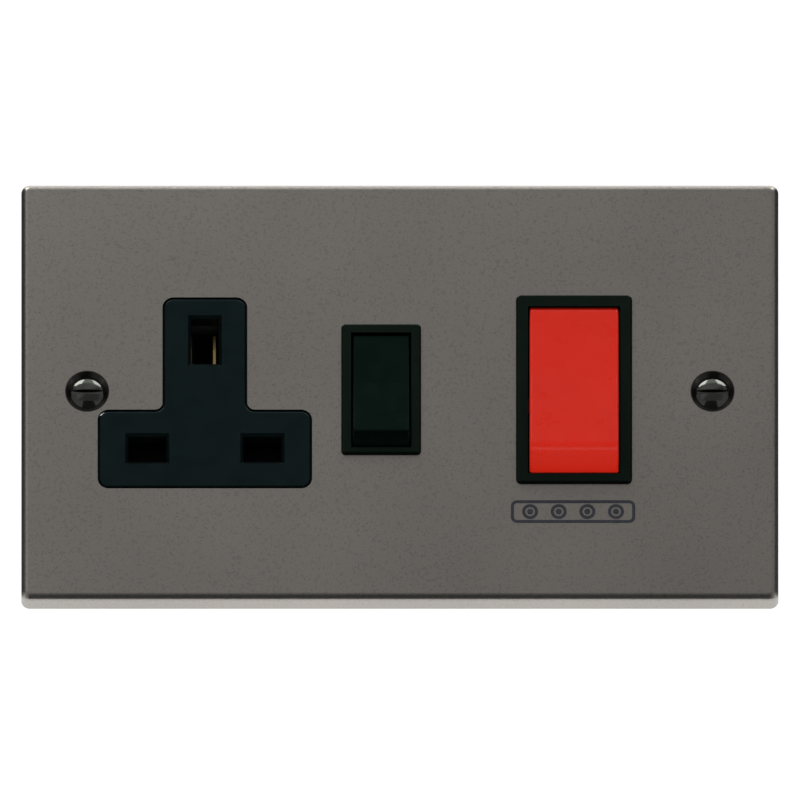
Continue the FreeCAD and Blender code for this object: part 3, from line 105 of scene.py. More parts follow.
class Graph:
    """One material's node tree while it is wired up."""

    def __init__(self, name: str) -> None:
        """Starts an empty material.

        Args:
            name: the material's name.
        """
        self.material = bpy.data.materials.new(name)
        self.material.use_nodes = True
        self.tree = self.material.node_tree
        self.tree.nodes.clear()
        self.output = self.add("ShaderNodeOutputMaterial")

    def add(self, kind: str, **settings: object) -> bpy.types.Node:
        """Adds a node.

        Args:
            kind: the node's type name.
            **settings: properties set on the node.

        Returns:
            The new node.
        """
        node = self.tree.nodes.new(kind)
        for key, setting in settings.items():
            setattr(node, key, setting)
        return node

    def wire(self, source: Socket, target: Socket) -> None:
        """Links two sockets."""
        self.tree.links.new(source, target)

    def noise(
        self,
        per_metre: float,
        detail: float = 2.0,
        stretch: Space = Space.EVEN,
        roughness: float = 0.5,
        offset: Point = (0.0, 0.0, 0.0),
    ) -> Socket:
        """Adds a noise pattern on the piece's own coordinates.

        Args:
            per_metre: the pattern's scale, in features a metre.
            detail: octaves of the noise.
            stretch: the axis that it is drawn out along.
            roughness: weight of the finer octaves.
            offset: where the pattern starts.

        Returns:
            The factor socket, from 0 to 1.
        """
        place = self.add("ShaderNodeTexCoord")
        mapping = self.add("ShaderNodeMapping")
        mapping.inputs["Scale"].default_value = stretch.value
        mapping.inputs["Location"].default_value = offset
        self.wire(place.outputs["Object"], mapping.inputs["Vector"])
        pattern = self.add("ShaderNodeTexNoise")
        pattern.inputs["Scale"].default_value = per_metre
        pattern.inputs["Detail"].default_value = detail
        pattern.inputs["Roughness"].default_value = roughness
        self.wire(mapping.outputs["Vector"], pattern.inputs["Vector"])
        return pattern.outputs["Fac"]

    def ramp(self, factor: Socket, stops: Sequence[tuple[float, Colour]]) -> Socket:
        """Turns a factor into colours.

        Args:
            factor: the pattern.
            stops: place and colour of each stop, in order.

        Returns:
            The colour socket.
        """
        node = self.add("ShaderNodeValToRGB")
        elements = node.color_ramp.elements
        while len(elements) < len(stops):
            elements.new(0.5)
        for element, (place, colour) in zip(elements, stops):
            element.position = place
            element.color = (*colour, 1.0)
        self.wire(factor, node.inputs["Fac"])
        return node.outputs["Color"]

    def varied(
        self,
        factor: Socket,
        colour: Colour,
        shares: Pair,
        ends: Pair = PATTERN_ENDS,
    ) -> Socket:
        """Spreads the tones of a colour over a pattern.

        Args:
            factor: the pattern.
            colour: the colour.
            shares: how much of it shows at each end of the pattern.
            ends: where those ends are.

        Returns:
            The colour socket.
        """
        tones = (shaded(colour, share) for share in shares)
        return self.ramp(factor, tuple(zip(ends, tones)))

    def between(self, factor: Socket, low: float, high: float) -> Socket:
        """Maps the middle of a pattern to a range.

        Args:
            factor: the pattern.
            low: value at the pattern's low end.
            high: value at its high end.

        Returns:
            The mapped socket.
        """
        node = self.add("ShaderNodeMapRange")
        node.inputs["From Min"].default_value = PATTERN_ENDS[0]
        node.inputs["From Max"].default_value = PATTERN_ENDS[1]
        node.inputs["To Min"].default_value = low
        node.inputs["To Max"].default_value = high
        self.wire(factor, node.inputs["Value"])
        return node.outputs["Result"]

    def tinted(
        self,
        base: Socket,
        over: Socket,
        share: Socket | float,
        blend: str = "MIX",
    ) -> Socket:
        """Mixes two colours.

        Args:
            base: the colour underneath.
            over: the colour on top.
            share: how much of the top colour shows.
            blend: the blending mode.

        Returns:
            The mixed colour socket.
        """
        node = self.add("ShaderNodeMix", data_type="RGBA", blend_type=blend)
        if isinstance(share, float):
            node.inputs["Factor"].default_value = share
        else:
            self.wire(share, node.inputs["Factor"])
        self.wire(base, node.inputs[MIX_UNDER])
        self.wire(over, node.inputs[MIX_OVER])
        return node.outputs[MIX_RESULT]

    def bump(self, height: Socket, depth: float, strength: float) -> Socket:
        """Adds relief.

        Args:
            height: the pattern.
            depth: its depth in metres.
            strength: how strongly it shows.

        Returns:
            The normal socket.
        """
        node = self.add("ShaderNodeBump")
        node.inputs["Distance"].default_value = depth
        node.inputs["Strength"].default_value = strength
        self.wire(height, node.inputs["Height"])
        return node.outputs["Normal"]

    def principled(
        self,
        colour: Socket,
        roughness: Socket,
        normal: Socket,
        metal: bool,
        gloss: float = 0.5,
        sheen: Colour = WHITE,
    ) -> None:
        """Ends the tree in one Principled shader.

        Args:
            colour: the base colour.
            roughness: the roughness.
            normal: the relief.
            metal: whether it is bare metal.
            gloss: the level of its mirror reflection.
            sheen: the tint of that reflection.
        """
        shader = self.add("ShaderNodeBsdfPrincipled")
        shader.inputs["Metallic"].default_value = 1.0 if metal else 0.0
        shader.inputs["IOR"].default_value = PLASTIC_INDEX
        shader.inputs["Specular IOR Level"].default_value = gloss
        shader.inputs["Specular Tint"].default_value = (*sheen, 1.0)
        self.wire(colour, shader.inputs["Base Color"])
        self.wire(roughness, shader.inputs["Roughness"])
        self.wire(normal, shader.inputs["Normal"])
        self.wire(shader.outputs["BSDF"], self.output.inputs["Surface"])


class Finish(Protocol):
    """Anything that can make a material."""

    name: str

    def make(self) -> bpy.types.Material:
        """Makes the material."""


def shaded(colour: Colour, share: float) -> Colour:
    """Returns the colour scaled by a share, kept below 1."""
    return tuple(min(part * share, 1.0) for part in colour)


@dataclass(frozen=True)
class SatinNickel:
    """Plated sheet with a fine even grain, slow changes of tone and painted shade in the two
    pressed screw recesses.
    """

    name: str
    colour: Colour
    roughness: Pair = (0.27, 0.36)
    grain: float = 5200.0
    mottle: float = 26.0
    seat_pitch: float = 120.6 * MM
    seat_radius: float = 4.25 * MM
    # How dark the painted shade in the screw recesses is, as a share of the plate's tone.
    seat_shade_share: float = 0.13
    relief: float = 0.006 * MM

    def make(self) -> bpy.types.Material:
        """Makes the material."""
        graph = Graph(self.name)
        slow = graph.noise(self.mottle, detail=3.0)
        fine = graph.noise(self.grain, detail=2.0, roughness=0.6)
        specks = graph.noise(self.grain * 0.37, detail=1.0, offset=(0.3, 0.1, 0.7))
        tone = graph.varied(slow, self.colour, (0.95, 1.05), (0.32, 0.68))
        grained = graph.varied(fine, WHITE, (0.76, 1.0))
        specked = graph.ramp(specks, ((0.3, (0.78, 0.78, 0.79)), (0.46, WHITE)))
        tone = graph.tinted(tone, grained, share=0.9, blend="MULTIPLY")
        tone = graph.tinted(tone, specked, share=0.7, blend="MULTIPLY")
        # Painted shade: the plate's tone is multiplied darker inside the two screw recesses.
        tone = graph.tinted(tone, self.painted_seat_shade(graph), share=1.0, blend="MULTIPLY")
        relief = graph.bump(fine, self.relief, strength=0.22)
        rough = graph.between(fine, *self.roughness)
        graph.principled(tone, rough, relief, metal=True)
        return graph.material

    def painted_seat_shade(self, graph: Graph) -> Socket:
        """Paints shade into the two pressed screw recesses by darkening the plate's tone inside
        them.

        Args:
            graph: the material's tree.

        Returns:
            The colour that the plate's tone is multiplied by.
        """
        place = graph.add("ShaderNodeTexCoord")
        folded = graph.add("ShaderNodeVectorMath", operation="ABSOLUTE")
        graph.wire(place.outputs["Object"], folded.inputs[0])
        centred = graph.add("ShaderNodeVectorMath", operation="SUBTRACT")
        centred.inputs[1].default_value = (self.seat_pitch / 2.0, 0.0, 0.0)
        graph.wire(folded.outputs["Vector"], centred.inputs[0])
        flat = graph.add("ShaderNodeVectorMath", operation="MULTIPLY")
        flat.inputs[1].default_value = (1.0, 0.0, 1.0)
        graph.wire(centred.outputs["Vector"], flat.inputs[0])
        reach = graph.add("ShaderNodeVectorMath", operation="LENGTH")
        graph.wire(flat.outputs["Vector"], reach.inputs[0])
        share = graph.add("ShaderNodeMath", operation="DIVIDE", use_clamp=True)
        share.inputs[1].default_value = self.seat_radius * 2.0
        graph.wire(reach.outputs["Value"], share.inputs[0])
        rim = (0.495, 0.505)
        return graph.varied(share.outputs["Value"], WHITE, (self.seat_shade_share, 1.0), rim)


@dataclass(frozen=True)
class MirrorNickel:
    """Dark polished plating with faint turning marks."""

    name: str
    colour: Colour
    roughness: Pair = (0.06, 0.13)
    clouding: float = 420.0
    turning: float = 5200.0
    relief: float = 0.003 * MM

    def make(self) -> bpy.types.Material:
        """Makes the material."""
        graph = Graph(self.name)
        cloud = graph.noise(self.clouding, detail=3.0)
        marks = graph.noise(self.turning, detail=1.0, stretch=Space.ALONG_X)
        tone = graph.varied(cloud, self.colour, (0.85, 1.08))
        relief = graph.bump(marks, self.relief, strength=0.12)
        graph.principled(tone, graph.between(cloud, *self.roughness), relief, metal=True)
        return graph.material


@dataclass(frozen=True)
class GlossMoulding:
    """Moulded plastic with a soft gloss, a fine mould texture and faint handling marks."""

    name: str
    colour: Colour
    roughness: Pair = (0.22, 0.32)
    relief: float = 0.005 * MM
    variation: float = 0.07
    gloss: float = 0.3
    sheen: Colour = WHITE
    clouding: float = 70.0
    porosity: float = 6400.0
    handling: float = 260.0

    def make(self) -> bpy.types.Material:
        """Makes the material."""
        graph = Graph(self.name)
        cloud = graph.noise(self.clouding, detail=4.0)
        pores = graph.noise(self.porosity, detail=2.0, roughness=0.62)
        rub = graph.noise(self.handling, detail=4.0, offset=(0.0, 0.4, 0.2))
        tone = graph.varied(cloud, self.colour, (1.0 - self.variation, 1.0 + self.variation))
        pored = graph.varied(pores, WHITE, (0.93, 1.0), (0.3, 0.6))
        tone = graph.tinted(tone, pored, share=0.7, blend="MULTIPLY")
        rough = graph.between(rub, *self.roughness)
        normal = graph.bump(pores, self.relief, strength=0.2)
        graph.principled(tone, rough, normal, metal=False, gloss=self.gloss, sheen=self.sheen)
        return graph.material


@dataclass(frozen=True)
class Thermoset:
    """Matt moulding compound with a granular skin and pale filler specks."""

    name: str
    colour: Colour
    speck: Colour
    roughness: Pair = (0.5, 0.68)
    streaks: float = 120.0
    grains: float = 3600.0
    specks: float = 2100.0
    speck_ends: Pair = (0.66, 0.74)
    relief: float = 0.03 * MM

    def make(self) -> bpy.types.Material:
        """Makes the material."""
        graph = Graph(self.name)
        flow = graph.noise(self.streaks, detail=4.0, stretch=Space.ALONG_Z)
        grit = graph.noise(self.grains, detail=3.0, roughness=0.7)
        filler = graph.noise(self.specks, detail=1.0, offset=(0.6, 0.2, 0.9))
        tone = graph.varied(flow, self.colour, (0.84, 1.16))
        filled = graph.ramp(filler, tuple(zip(self.speck_ends, (self.colour, self.speck))))
        share = graph.varied(filler, WHITE, (0.0, 0.6), self.speck_ends)
        tone = graph.tinted(tone, filled, share)
        normal = graph.bump(grit, self.relief, strength=0.3)
        graph.principled(tone, graph.between(grit, *self.roughness), normal, metal=False)
        return graph.material


@dataclass(frozen=True)
class BareMetal:
    """Stamped, drawn or turned metal with drawn-out marks and patches of tarnish."""

    name: str
    colour: Colour
    tarnish: Colour
    lie: Space = Space.ALONG_Z
    tarnished: float = 0.35
    roughness: Pair = (0.24, 0.42)
    marks: float = 3800.0
    stains: float = 210.0
    relief: float = 0.01 * MM

    def make(self) -> bpy.types.Material:
        """Makes the material."""
        graph = Graph(self.name)
        lines = graph.noise(self.marks, detail=3.0, stretch=self.lie, roughness=0.65)
        patches = graph.noise(self.stains, detail=5.0, roughness=0.62, offset=(0.2, 0.5, 0.1))
        tone = graph.varied(lines, self.colour, (0.86, 1.08))
        dull = graph.varied(patches, self.tarnish, (1.0, 1.15))
        share = graph.varied(patches, WHITE, (0.0, self.tarnished), (0.5, 0.72))
        tone = graph.tinted(tone, dull, share)
        normal = graph.bump(lines, self.relief, strength=0.3)
        graph.principled(tone, graph.between(lines, *self.roughness), normal, metal=True)
        return graph.material


@dataclass(frozen=True)
class PrintedInk:
    """Pad-printed ink with a broken, slightly uneven film."""

    name: str
    colour: Colour
    thin: Colour
    roughness: Pair = (0.38, 0.55)
    blots: float = 2600.0
    relief: float = 0.004 * MM

    def make(self) -> bpy.types.Material:
        """Makes the material."""
        graph = Graph(self.name)
        film = graph.noise(self.blots, detail=4.0, roughness=0.66)
        tone = graph.ramp(film, ((0.3, self.colour), (0.74, self.thin)))
        normal = graph.bump(film, self.relief, strength=0.25)
        graph.principled(tone, graph.between(film, *self.roughness), normal, metal=False)
        return graph.material


@dataclass(frozen=True)
class StagePaper:
    """Pale studio floor that shows as white and keeps the object's shadow."""

    name: str
    shade: float
    lift: float

    def make(self) -> bpy.types.Material:
        """Makes the material."""
        graph = Graph(self.name)
        paper = graph.add("ShaderNodeBsdfDiffuse")
        paper.inputs["Color"].default_value = (*shaded(WHITE, self.shade), 1.0)
        glow = graph.add("ShaderNodeEmission")
        glow.inputs["Color"].default_value = (*WHITE, 1.0)
        glow.inputs["Strength"].default_value = self.lift
        both = graph.add("ShaderNodeAddShader")
        graph.wire(paper.outputs["BSDF"], both.inputs[0])
        graph.wire(glow.outputs["Emission"], both.inputs[1])
        rays = shown_rays(graph.tree)
        seen = mixed(graph.tree, rays, paper.outputs["BSDF"], both.outputs["Shader"])
        graph.wire(seen, graph.output.inputs["Surface"])
        return graph.material


def shown_rays(tree: Tree, kinds: Iterable[Seen] = tuple(Seen)) -> Socket:
    """Adds up the kinds of ray that see the white background.

    Args:
        tree: the node tree to add to.
        kinds: the kinds of ray.

    Returns:
        A socket that is 1 for those rays and 0 for the rest.
    """
    path = tree.nodes.new("ShaderNodeLightPath")
    total = None
    for kind in kinds:
        ray = path.outputs[kind.value]
        if total is None:
            total = ray
            continue
        node = tree.nodes.new("ShaderNodeMath")
        node.operation = "MAXIMUM"
        tree.links.new(total, node.inputs[0])
        tree.links.new(ray, node.inputs[1])
        total = node.outputs[0]
    return total


def mixed(tree: Tree, share: Socket, first: Socket, second: Socket) -> Socket:
    """Mixes two shaders.

    Args:
        tree: the node tree to add to.
        share: how much of the second one shows.
        first: the shader that shows at 0.
        second: the shader that shows at 1.

    Returns:
        The mixed shader's socket.
    """
    node = tree.nodes.new("ShaderNodeMixShader")
    tree.links.new(share, node.inputs["Fac"])
    tree.links.new(first, node.inputs[1])
    tree.links.new(second, node.inputs[2])
    return node.outputs["Shader"]


class Bench:
    """The edit-mode operators that the new pieces are made with."""

    @staticmethod
    def clear() -> None:
        """Leaves edit mode and deselects everything."""
        active = bpy.context.view_layer.objects.active
        if active is not None and active.mode != "OBJECT":
            bpy.ops.object.mode_set(mode="OBJECT")
        bpy.ops.object.select_all(action="DESELECT")

    @staticmethod
    def take(piece: Piece) -> None:
        """Makes a piece the only selected one and the active one."""
        Bench.clear()
        piece.select_set(True)
        bpy.context.view_layer.objects.active = piece

    @staticmethod
    def edit(piece: Piece, mode: str = "FACE") -> None:
        """Opens a piece in edit mode with nothing selected.

        Args:
            piece: the piece.
            mode: VERT, EDGE or FACE.
        """
        Bench.take(piece)
        bpy.ops.object.mode_set(mode="EDIT")
        bpy.ops.mesh.select_mode(type=mode)
        bpy.ops.mesh.select_all(action="DESELECT")

    @staticmethod
    def pick_faces(piece: Piece, wanted: Callable[[Vector, Vector], bool]) -> None:
        """Selects faces by their middle and normal.

        Args:
            piece: the piece, open in edit mode.
            wanted: says whether a face with that middle and normal is taken.
        """
        shape = bmesh.from_edit_mesh(piece.data)
        for face in shape.faces:
            if wanted(face.calc_center_median(), face.normal):
                face.select = True
        shape.select_flush_mode()
        bmesh.update_edit_mesh(piece.data)

    @staticmethod
    def pick_edges(piece: Piece, wanted: Callable[[Vector, Vector], bool]) -> None:
        """Selects edges by their two ends.

        Args:
            piece: the piece, open in edit mode.
            wanted: says whether an edge with those ends is taken.
        """
        shape = bmesh.from_edit_mesh(piece.data)
        for edge in shape.edges:
            if wanted(edge.verts[0].co, edge.verts[1].co):
                edge.select = True
        shape.select_flush_mode()
        bmesh.update_edit_mesh(piece.data)

    @staticmethod
    def fix(place: bool = True) -> None:
        """Applies the selected piece's scale, and its place and turn unless told not to."""
        bpy.ops.object.transform_apply(location=place, rotation=place, scale=True)

    @staticmethod
    def settle(piece: Piece, name: str) -> Piece:
        """Closes a piece: its place goes into its mesh and its faces point outwards.

        Args:
            piece: the piece.
            name: the name that it gets.

        Returns:
            The same piece.
        """
        Bench.edit(piece, "VERT")
        bpy.ops.mesh.select_all(action="SELECT")
        bpy.ops.mesh.remove_doubles(threshold=WELD)
        bpy.ops.mesh.normals_make_consistent(inside=False)
        bpy.ops.object.mode_set(mode="OBJECT")
        Bench.fix()
        bpy.ops.object.shade_smooth_by_angle(angle=SMOOTH_ANGLE)
        piece.name = name
        piece.data.name = name
        return piece

    @staticmethod
    def join(pieces: Sequence[Piece]) -> Piece:
        """Joins pieces into the first one.

        Args:
            pieces: the pieces.

        Returns:
            The joined piece.
        """
        Bench.clear()
        for piece in pieces:
            piece.select_set(True)
        bpy.context.view_layer.objects.active = pieces[0]
        bpy.ops.object.join()
        return pieces[0]


def dress(nodes: Iterable[str], material: bpy.types.Material) -> None:
    """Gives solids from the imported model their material.

    Args:
        nodes: the names of the solids.
        material: what they are made of.
    """
    for name in nodes:
        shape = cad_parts[name].data
        shape.materials.clear()
        shape.materials.append(material)
        shape.polygons.foreach_set("material_index", [0] * len(shape.polygons))
        shape.update()
        log.info("dressed %s in %s", name, material.name)


def paint(piece: Piece, finish: Finish) -> None:
    """Gives a new piece its one material."""
    piece.data.materials.clear()
    piece.data.materials.append(finish.make())


def copied(node: str, name: str) -> Piece:
    """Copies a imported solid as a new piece.

    Args:
        node: the solid's name.
        name: the new piece's name.

    Returns:
        The new piece.
    """
    piece = bpy.data.objects.new(name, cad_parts[node].data.copy())
    bpy.context.scene.collection.objects.link(piece)
    return piece


@dataclass
class FacePlate:
    """The metal plate and its pressed-in studs."""

    finish: SatinNickel = SatinNickel("satin_dark_nickel", (0.43, 0.402, 0.369))
    stud_finish: BareMetal = BareMetal(
        "stud_steel", (0.52, 0.51, 0.49), (0.3, 0.28, 0.25), Space.ALONG_Y, 0.3
    )
    plate: str = "front_plate"
    studs: tuple[str, ...] = tuple(
        f"plate_stud_{row}_{side}" for row in ("lower", "upper") for side in ("left", "right")
    )

    def build(self) -> None:
        """Dresses the plate and its studs."""
        dress((self.plate,), self.finish.make())
        dress(self.studs, self.stud_finish.make())


@dataclass
class SocketUnit:
    """The three-pin socket: its insert, shutter and sprung contacts."""

    insert_finish: GlossMoulding = GlossMoulding(
        "socket_black",
        (0.0008, 0.0015, 0.0013),
        (0.3, 0.42),
        gloss=0.33,
        sheen=(0.49, 0.92, 1.0),
    )
    shutter_finish: GlossMoulding = GlossMoulding(
        "shutter_black", (0.0004, 0.0005, 0.0006), (0.42, 0.55), gloss=0.06
    )
    contact_finish: BareMetal = BareMetal(
        "contact_brass", (0.74, 0.5, 0.21), (0.36, 0.2, 0.07), Space.ALONG_Y, 0.5
    )
    insert: str = "socket_moulding"
    shutter: str = "shutter"
    contacts: tuple[str, ...] = ("line_contact", "neutral_contact", "earth_contact")

    def build(self) -> None:
        """Dresses the socket's parts."""
        dress((self.insert,), self.insert_finish.make())
        dress((self.shutter,), self.shutter_finish.make())
        dress(self.contacts, self.contact_finish.make())


@dataclass
class ShutterSpring:
    """The shutter's coil spring, which in the real socket shortens as the earth pin pushes the
    shutter down; here it is copied whole and keeps its length.
    """

    node: str = "shutter_spring"
    finish: BareMetal = BareMetal(
        "shutter_spring_steel", (0.56, 0.56, 0.55), (0.34, 0.32, 0.3), Space.ALONG_Z, 0.25
    )
    travel: float = 6.4 * MM

    def build(self) -> Piece:
        """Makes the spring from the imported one's coil.

        Returns:
            The finished spring.
        """
        name = self.node + "_coil"
        coil = Bench.settle(copied(self.node, name), name)
        paint(coil, self.finish)
        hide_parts(self.node)
        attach(coil, Body.BASE.value)
        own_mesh(coil)
        return coil


@dataclass
class SwitchUnit:
    """One switch: its frame, rocker, plungers, their springs and its contact arms."""

    rating: str
    poles: tuple[str, ...]
    rocker_finish: GlossMoulding
    frame_finish: GlossMoulding
    plunger_finish: GlossMoulding
    spring_finish: BareMetal
    arm_finish: BareMetal

    def names(self, stem: str) -> tuple[str, ...]:
        """Returns the names of the parts of one kind, one for each pole."""
        return tuple(f"{stem}_{pole}{self.rating}" for pole in self.poles)

    def build(self) -> None:
        """Dresses the switch's parts."""
        dress((f"switch_frame_{self.rating}",), self.frame_finish.make())
        dress((f"rocker_{self.rating}",), self.rocker_finish.make())
        dress(self.names("plunger"), self.plunger_finish.make())
        dress(self.names("plunger_spring"), self.spring_finish.make())
        dress(self.names("contact_arm"), self.arm_finish.make())


@dataclass
class RearCase:
    """The moulded body behind the plate, its cover and the screws that hold them."""

    case: str = "rear_housing"
    cover: str = "back_cover"
    case_finish: Thermoset = Thermoset(
        "case_thermoset", (0.0125, 0.0132, 0.0142), (0.045, 0.046, 0.048)
    )
    cover_finish: Thermoset = Thermoset(
        "cover_thermoset", (0.018, 0.0185, 0.0195), (0.06, 0.06, 0.062), (0.44, 0.6)
    )
    screw_finish: BareMetal = BareMetal(
        "zinc_screws", (0.66, 0.66, 0.63), (0.52, 0.47, 0.33), Space.ALONG_Y, 0.4, (0.2, 0.36)
    )
    screws: tuple[str, ...] = (
        "cover_screw_left",
        "cover_screw_right",
        "housing_screw_lower_left",
        "housing_screw_lower_right",
        "housing_screw_upper_left",
        "housing_screw_upper_right",
    )

    def build(self) -> None:
        """Dresses the case."""
        dress((self.case,), self.case_finish.make())
        dress((self.cover,), self.cover_finish.make())
        dress(self.screws, self.screw_finish.make())


@dataclass
class TerminalSet:
    """The cable terminals, the strips that join them and their clamp screws."""

    block_finish: BareMetal = BareMetal(
        "terminal_brass", (0.72, 0.49, 0.2), (0.38, 0.22, 0.08), Space.ALONG_Z, 0.45
    )
    strip_finish: BareMetal = BareMetal(
        "strip_brass", (0.76, 0.53, 0.24), (0.4, 0.24, 0.1), Space.ALONG_X, 0.35
    )
    screw_finish: BareMetal = BareMetal(
        "clamp_screw_steel", (0.62, 0.61, 0.57), (0.5, 0.44, 0.3), Space.ALONG_Y, 0.4
    )
    blocks: tuple[str, ...] = (
        "feed_terminal_line",
        "feed_terminal_neutral",
        "load_terminal_line",
        "load_terminal_neutral",
        "earth_terminal",
    )
    strips: tuple[str, ...] = (
        "line_link",
        "switch_link",
        "neutral_link",
        "earth_link",
        "earth_strap",
    )
    screws: tuple[str, ...] = (
        "feed_clamp_screw_line",
        "feed_clamp_screw_neutral",
        "load_clamp_screw_line",
        "load_clamp_screw_neutral",
        "earth_clamp_screw_left",
        "earth_clamp_screw_right",
    )

    def build(self) -> None:
        """Dresses the terminals."""
        dress(self.blocks, self.block_finish.make())
        dress(self.strips, self.strip_finish.make())
        dress(self.screws, self.screw_finish.make())


@dataclass
class WallScrew:
    """A fixing screw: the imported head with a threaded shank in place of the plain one."""

    node: str
    finish: MirrorNickel
    pitch: float = 0.6 * MM
    depth: float = 0.32 * MM
    runout: float = 1.6 * MM
    # Turns of the shank's end that stay bare.
    bare_turns: float = 1.5
    # The ridge's root as a share of the pitch, and its crest as a share of the root.
    root_share: float = 0.86
    crest_share: float = 0.16
    # How deep the ridge's root lies in the core.
    sunk_depth: float = 0.08 * MM
    steps: int = 20
    sides: int = 32
    cap_share: float = 0.35
    rim_share: float = 0.8
    chamfer: float = 0.3 * MM
    # The plain shank is measured on its last stretch and cut this far behind the head.
    tail_length: float = 4.0 * MM
    neck_length: float = 0.6 * MM
    head_weld: float = 0.002 * MM
    head_smooth: float = math.radians(28.0)

    def build(self) -> Piece:
        """Makes the screw.

        Returns:
            The finished screw.
        """
        low, high = (Vector(corner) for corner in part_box(self.node))
        middle = (low + high) / 2.0
        outer, start = self.shank(middle)
        head = self.head(start)
        core = self.core(middle, outer - self.depth, start, high.y)
        thread_end = high.y - self.pitch * self.bare_turns
        thread = self.thread(middle, outer, start + self.runout, thread_end)
        screw = Bench.join((head, core, thread))
        Bench.take(screw)
        screw.name = self.node + "_threaded"
        screw.data.name = screw.name
        paint(screw, self.finish)
        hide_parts(self.node)
        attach(screw, Body.BASE.value)
        log.info("made %s with %d faces", screw.name, len(screw.data.polygons))
        return screw

    def shank(self, middle: Vector) -> Pair:
        """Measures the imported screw's plain shank.

        Args:
            middle: a point on the screw's axis.

        Returns:
            Its radius, and the place along Y behind which nothing is wider.
        """
        slack = 0.05 * MM
        places = [
            (corner.co.y, math.hypot(corner.co.x - middle.x, corner.co.z - middle.z))
            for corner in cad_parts[self.node].data.vertices
        ]
        end = max(along for along, _ in places)
        radius = max(reach for along, reach in places if along > end - self.tail_length)
        wide = max(along for along, reach in places if reach > radius + slack)
        return radius, wide + self.neck_length

    def head(self, start: float) -> Piece:
        """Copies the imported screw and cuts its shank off.

        Args:
            start: where the shank is cut, along Y.

        Returns:
            The head.
        """
        head = copied(self.node, self.node + "_head")
        Bench.edit(head, "VERT")
        bpy.ops.mesh.select_all(action="SELECT")
        bpy.ops.mesh.remove_doubles(threshold=self.head_weld)
        bpy.ops.mesh.bisect(
            plane_co=(0.0, start, 0.0), plane_no=(0.0, 1.0, 0.0), clear_outer=True, use_fill=True
        )
        bpy.ops.object.mode_set(mode="OBJECT")
        bpy.ops.mesh.customdata_custom_splitnormals_clear()
        bpy.ops.object.shade_smooth_by_angle(angle=self.head_smooth)
        return head

    def core(self, middle: Vector, radius: float, start: float, end: float) -> Piece:
        """Makes the shank under the thread, with a chamfered end.

        Args:
            middle: a point on the screw's axis.
            radius: the thread's root radius.
            start: where the shank begins, along Y.
            end: where it ends, along Y.

        Returns:
            The core.
        """
        Bench.clear()
        bpy.ops.mesh.primitive_cylinder_add(
            vertices=self.sides,
            radius=radius,
            depth=end - start,
            location=(middle.x, (start + end) / 2.0, middle.z),
            rotation=(-RIGHT_ANGLE, 0.0, 0.0),
        )
        core = bpy.context.object
        Bench.edit(core)
        Bench.pick_faces(core, lambda place, normal: normal.z > FACING)
        bpy.ops.mesh.inset(thickness=radius * self.cap_share)
        Bench.take(core)
        Bench.fix()

        def on_rim(corner: Vector) -> bool:
            """Says whether a corner is on the rim of the shank's end."""
            reach = math.hypot(corner.x - middle.x, corner.z - middle.z)
            return corner.y > end - 0.01 * MM and reach > radius * self.rim_share

        Bench.edit(core)
        Bench.pick_edges(core, lambda one, two: on_rim(one) and on_rim(two))
        bpy.ops.mesh.bevel(offset=self.chamfer, segments=2, affect="EDGES")
        return Bench.settle(core, self.node + "_core")

    def thread(self, middle: Vector, outer: float, start: float, end: float) -> Piece:
        """Winds one ridge round the shank.

        Args:
            middle: a point on the screw's axis.
            outer: the thread's crest radius.
            start: where it begins, along Y.
            end: where it ends, along Y.

        Returns:
            The ridge.
        """
        inner = outer - self.depth - self.sunk_depth
        Bench.clear()
        bpy.ops.mesh.primitive_plane_add(size=1.0, location=(0.0, 0.0, 0.0))
        ridge = bpy.context.object
        ridge.scale = (outer - inner, self.pitch * self.root_share, 1.0)
        Bench.fix(place=False)
        Bench.edit(ridge, "VERT")
        Bench.pick_edges(ridge, lambda one, two: min(one.x, two.x) > 0.0)
        bpy.ops.transform.resize(value=(1.0, self.crest_share, 1.0))
        bpy.ops.mesh.select_all(action="SELECT")
        bpy.ops.transform.translate(value=((outer + inner) / 2.0, 0.0, 0.0))
        bpy.ops.mesh.delete(type="ONLY_FACE")
        bpy.ops.object.mode_set(mode="OBJECT")
        winding = ridge.modifiers.new("winding", "SCREW")
        winding.axis = "Y"
        winding.angle = 2.0 * math.pi
        winding.screw_offset = self.pitch
        winding.iterations = max(int((end - start) / self.pitch), 1)
        winding.steps = self.steps
        winding.render_steps = self.steps
        winding.use_merge_vertices = True
        winding.merge_threshold = WELD
        bpy.ops.object.modifier_apply(modifier=winding.name)
        Bench.edit(ridge, "EDGE")
        bpy.ops.mesh.select_all(action="SELECT")
        bpy.ops.mesh.remove_doubles(threshold=WELD)
        bpy.ops.mesh.select_all(action="DESELECT")
        bpy.ops.mesh.select_non_manifold()
        bpy.ops.mesh.fill_holes(sides=4)
        bpy.ops.object.mode_set(mode="OBJECT")
        ridge.location = (middle.x, start, middle.z)
        return Bench.settle(ridge, self.node + "_thread")


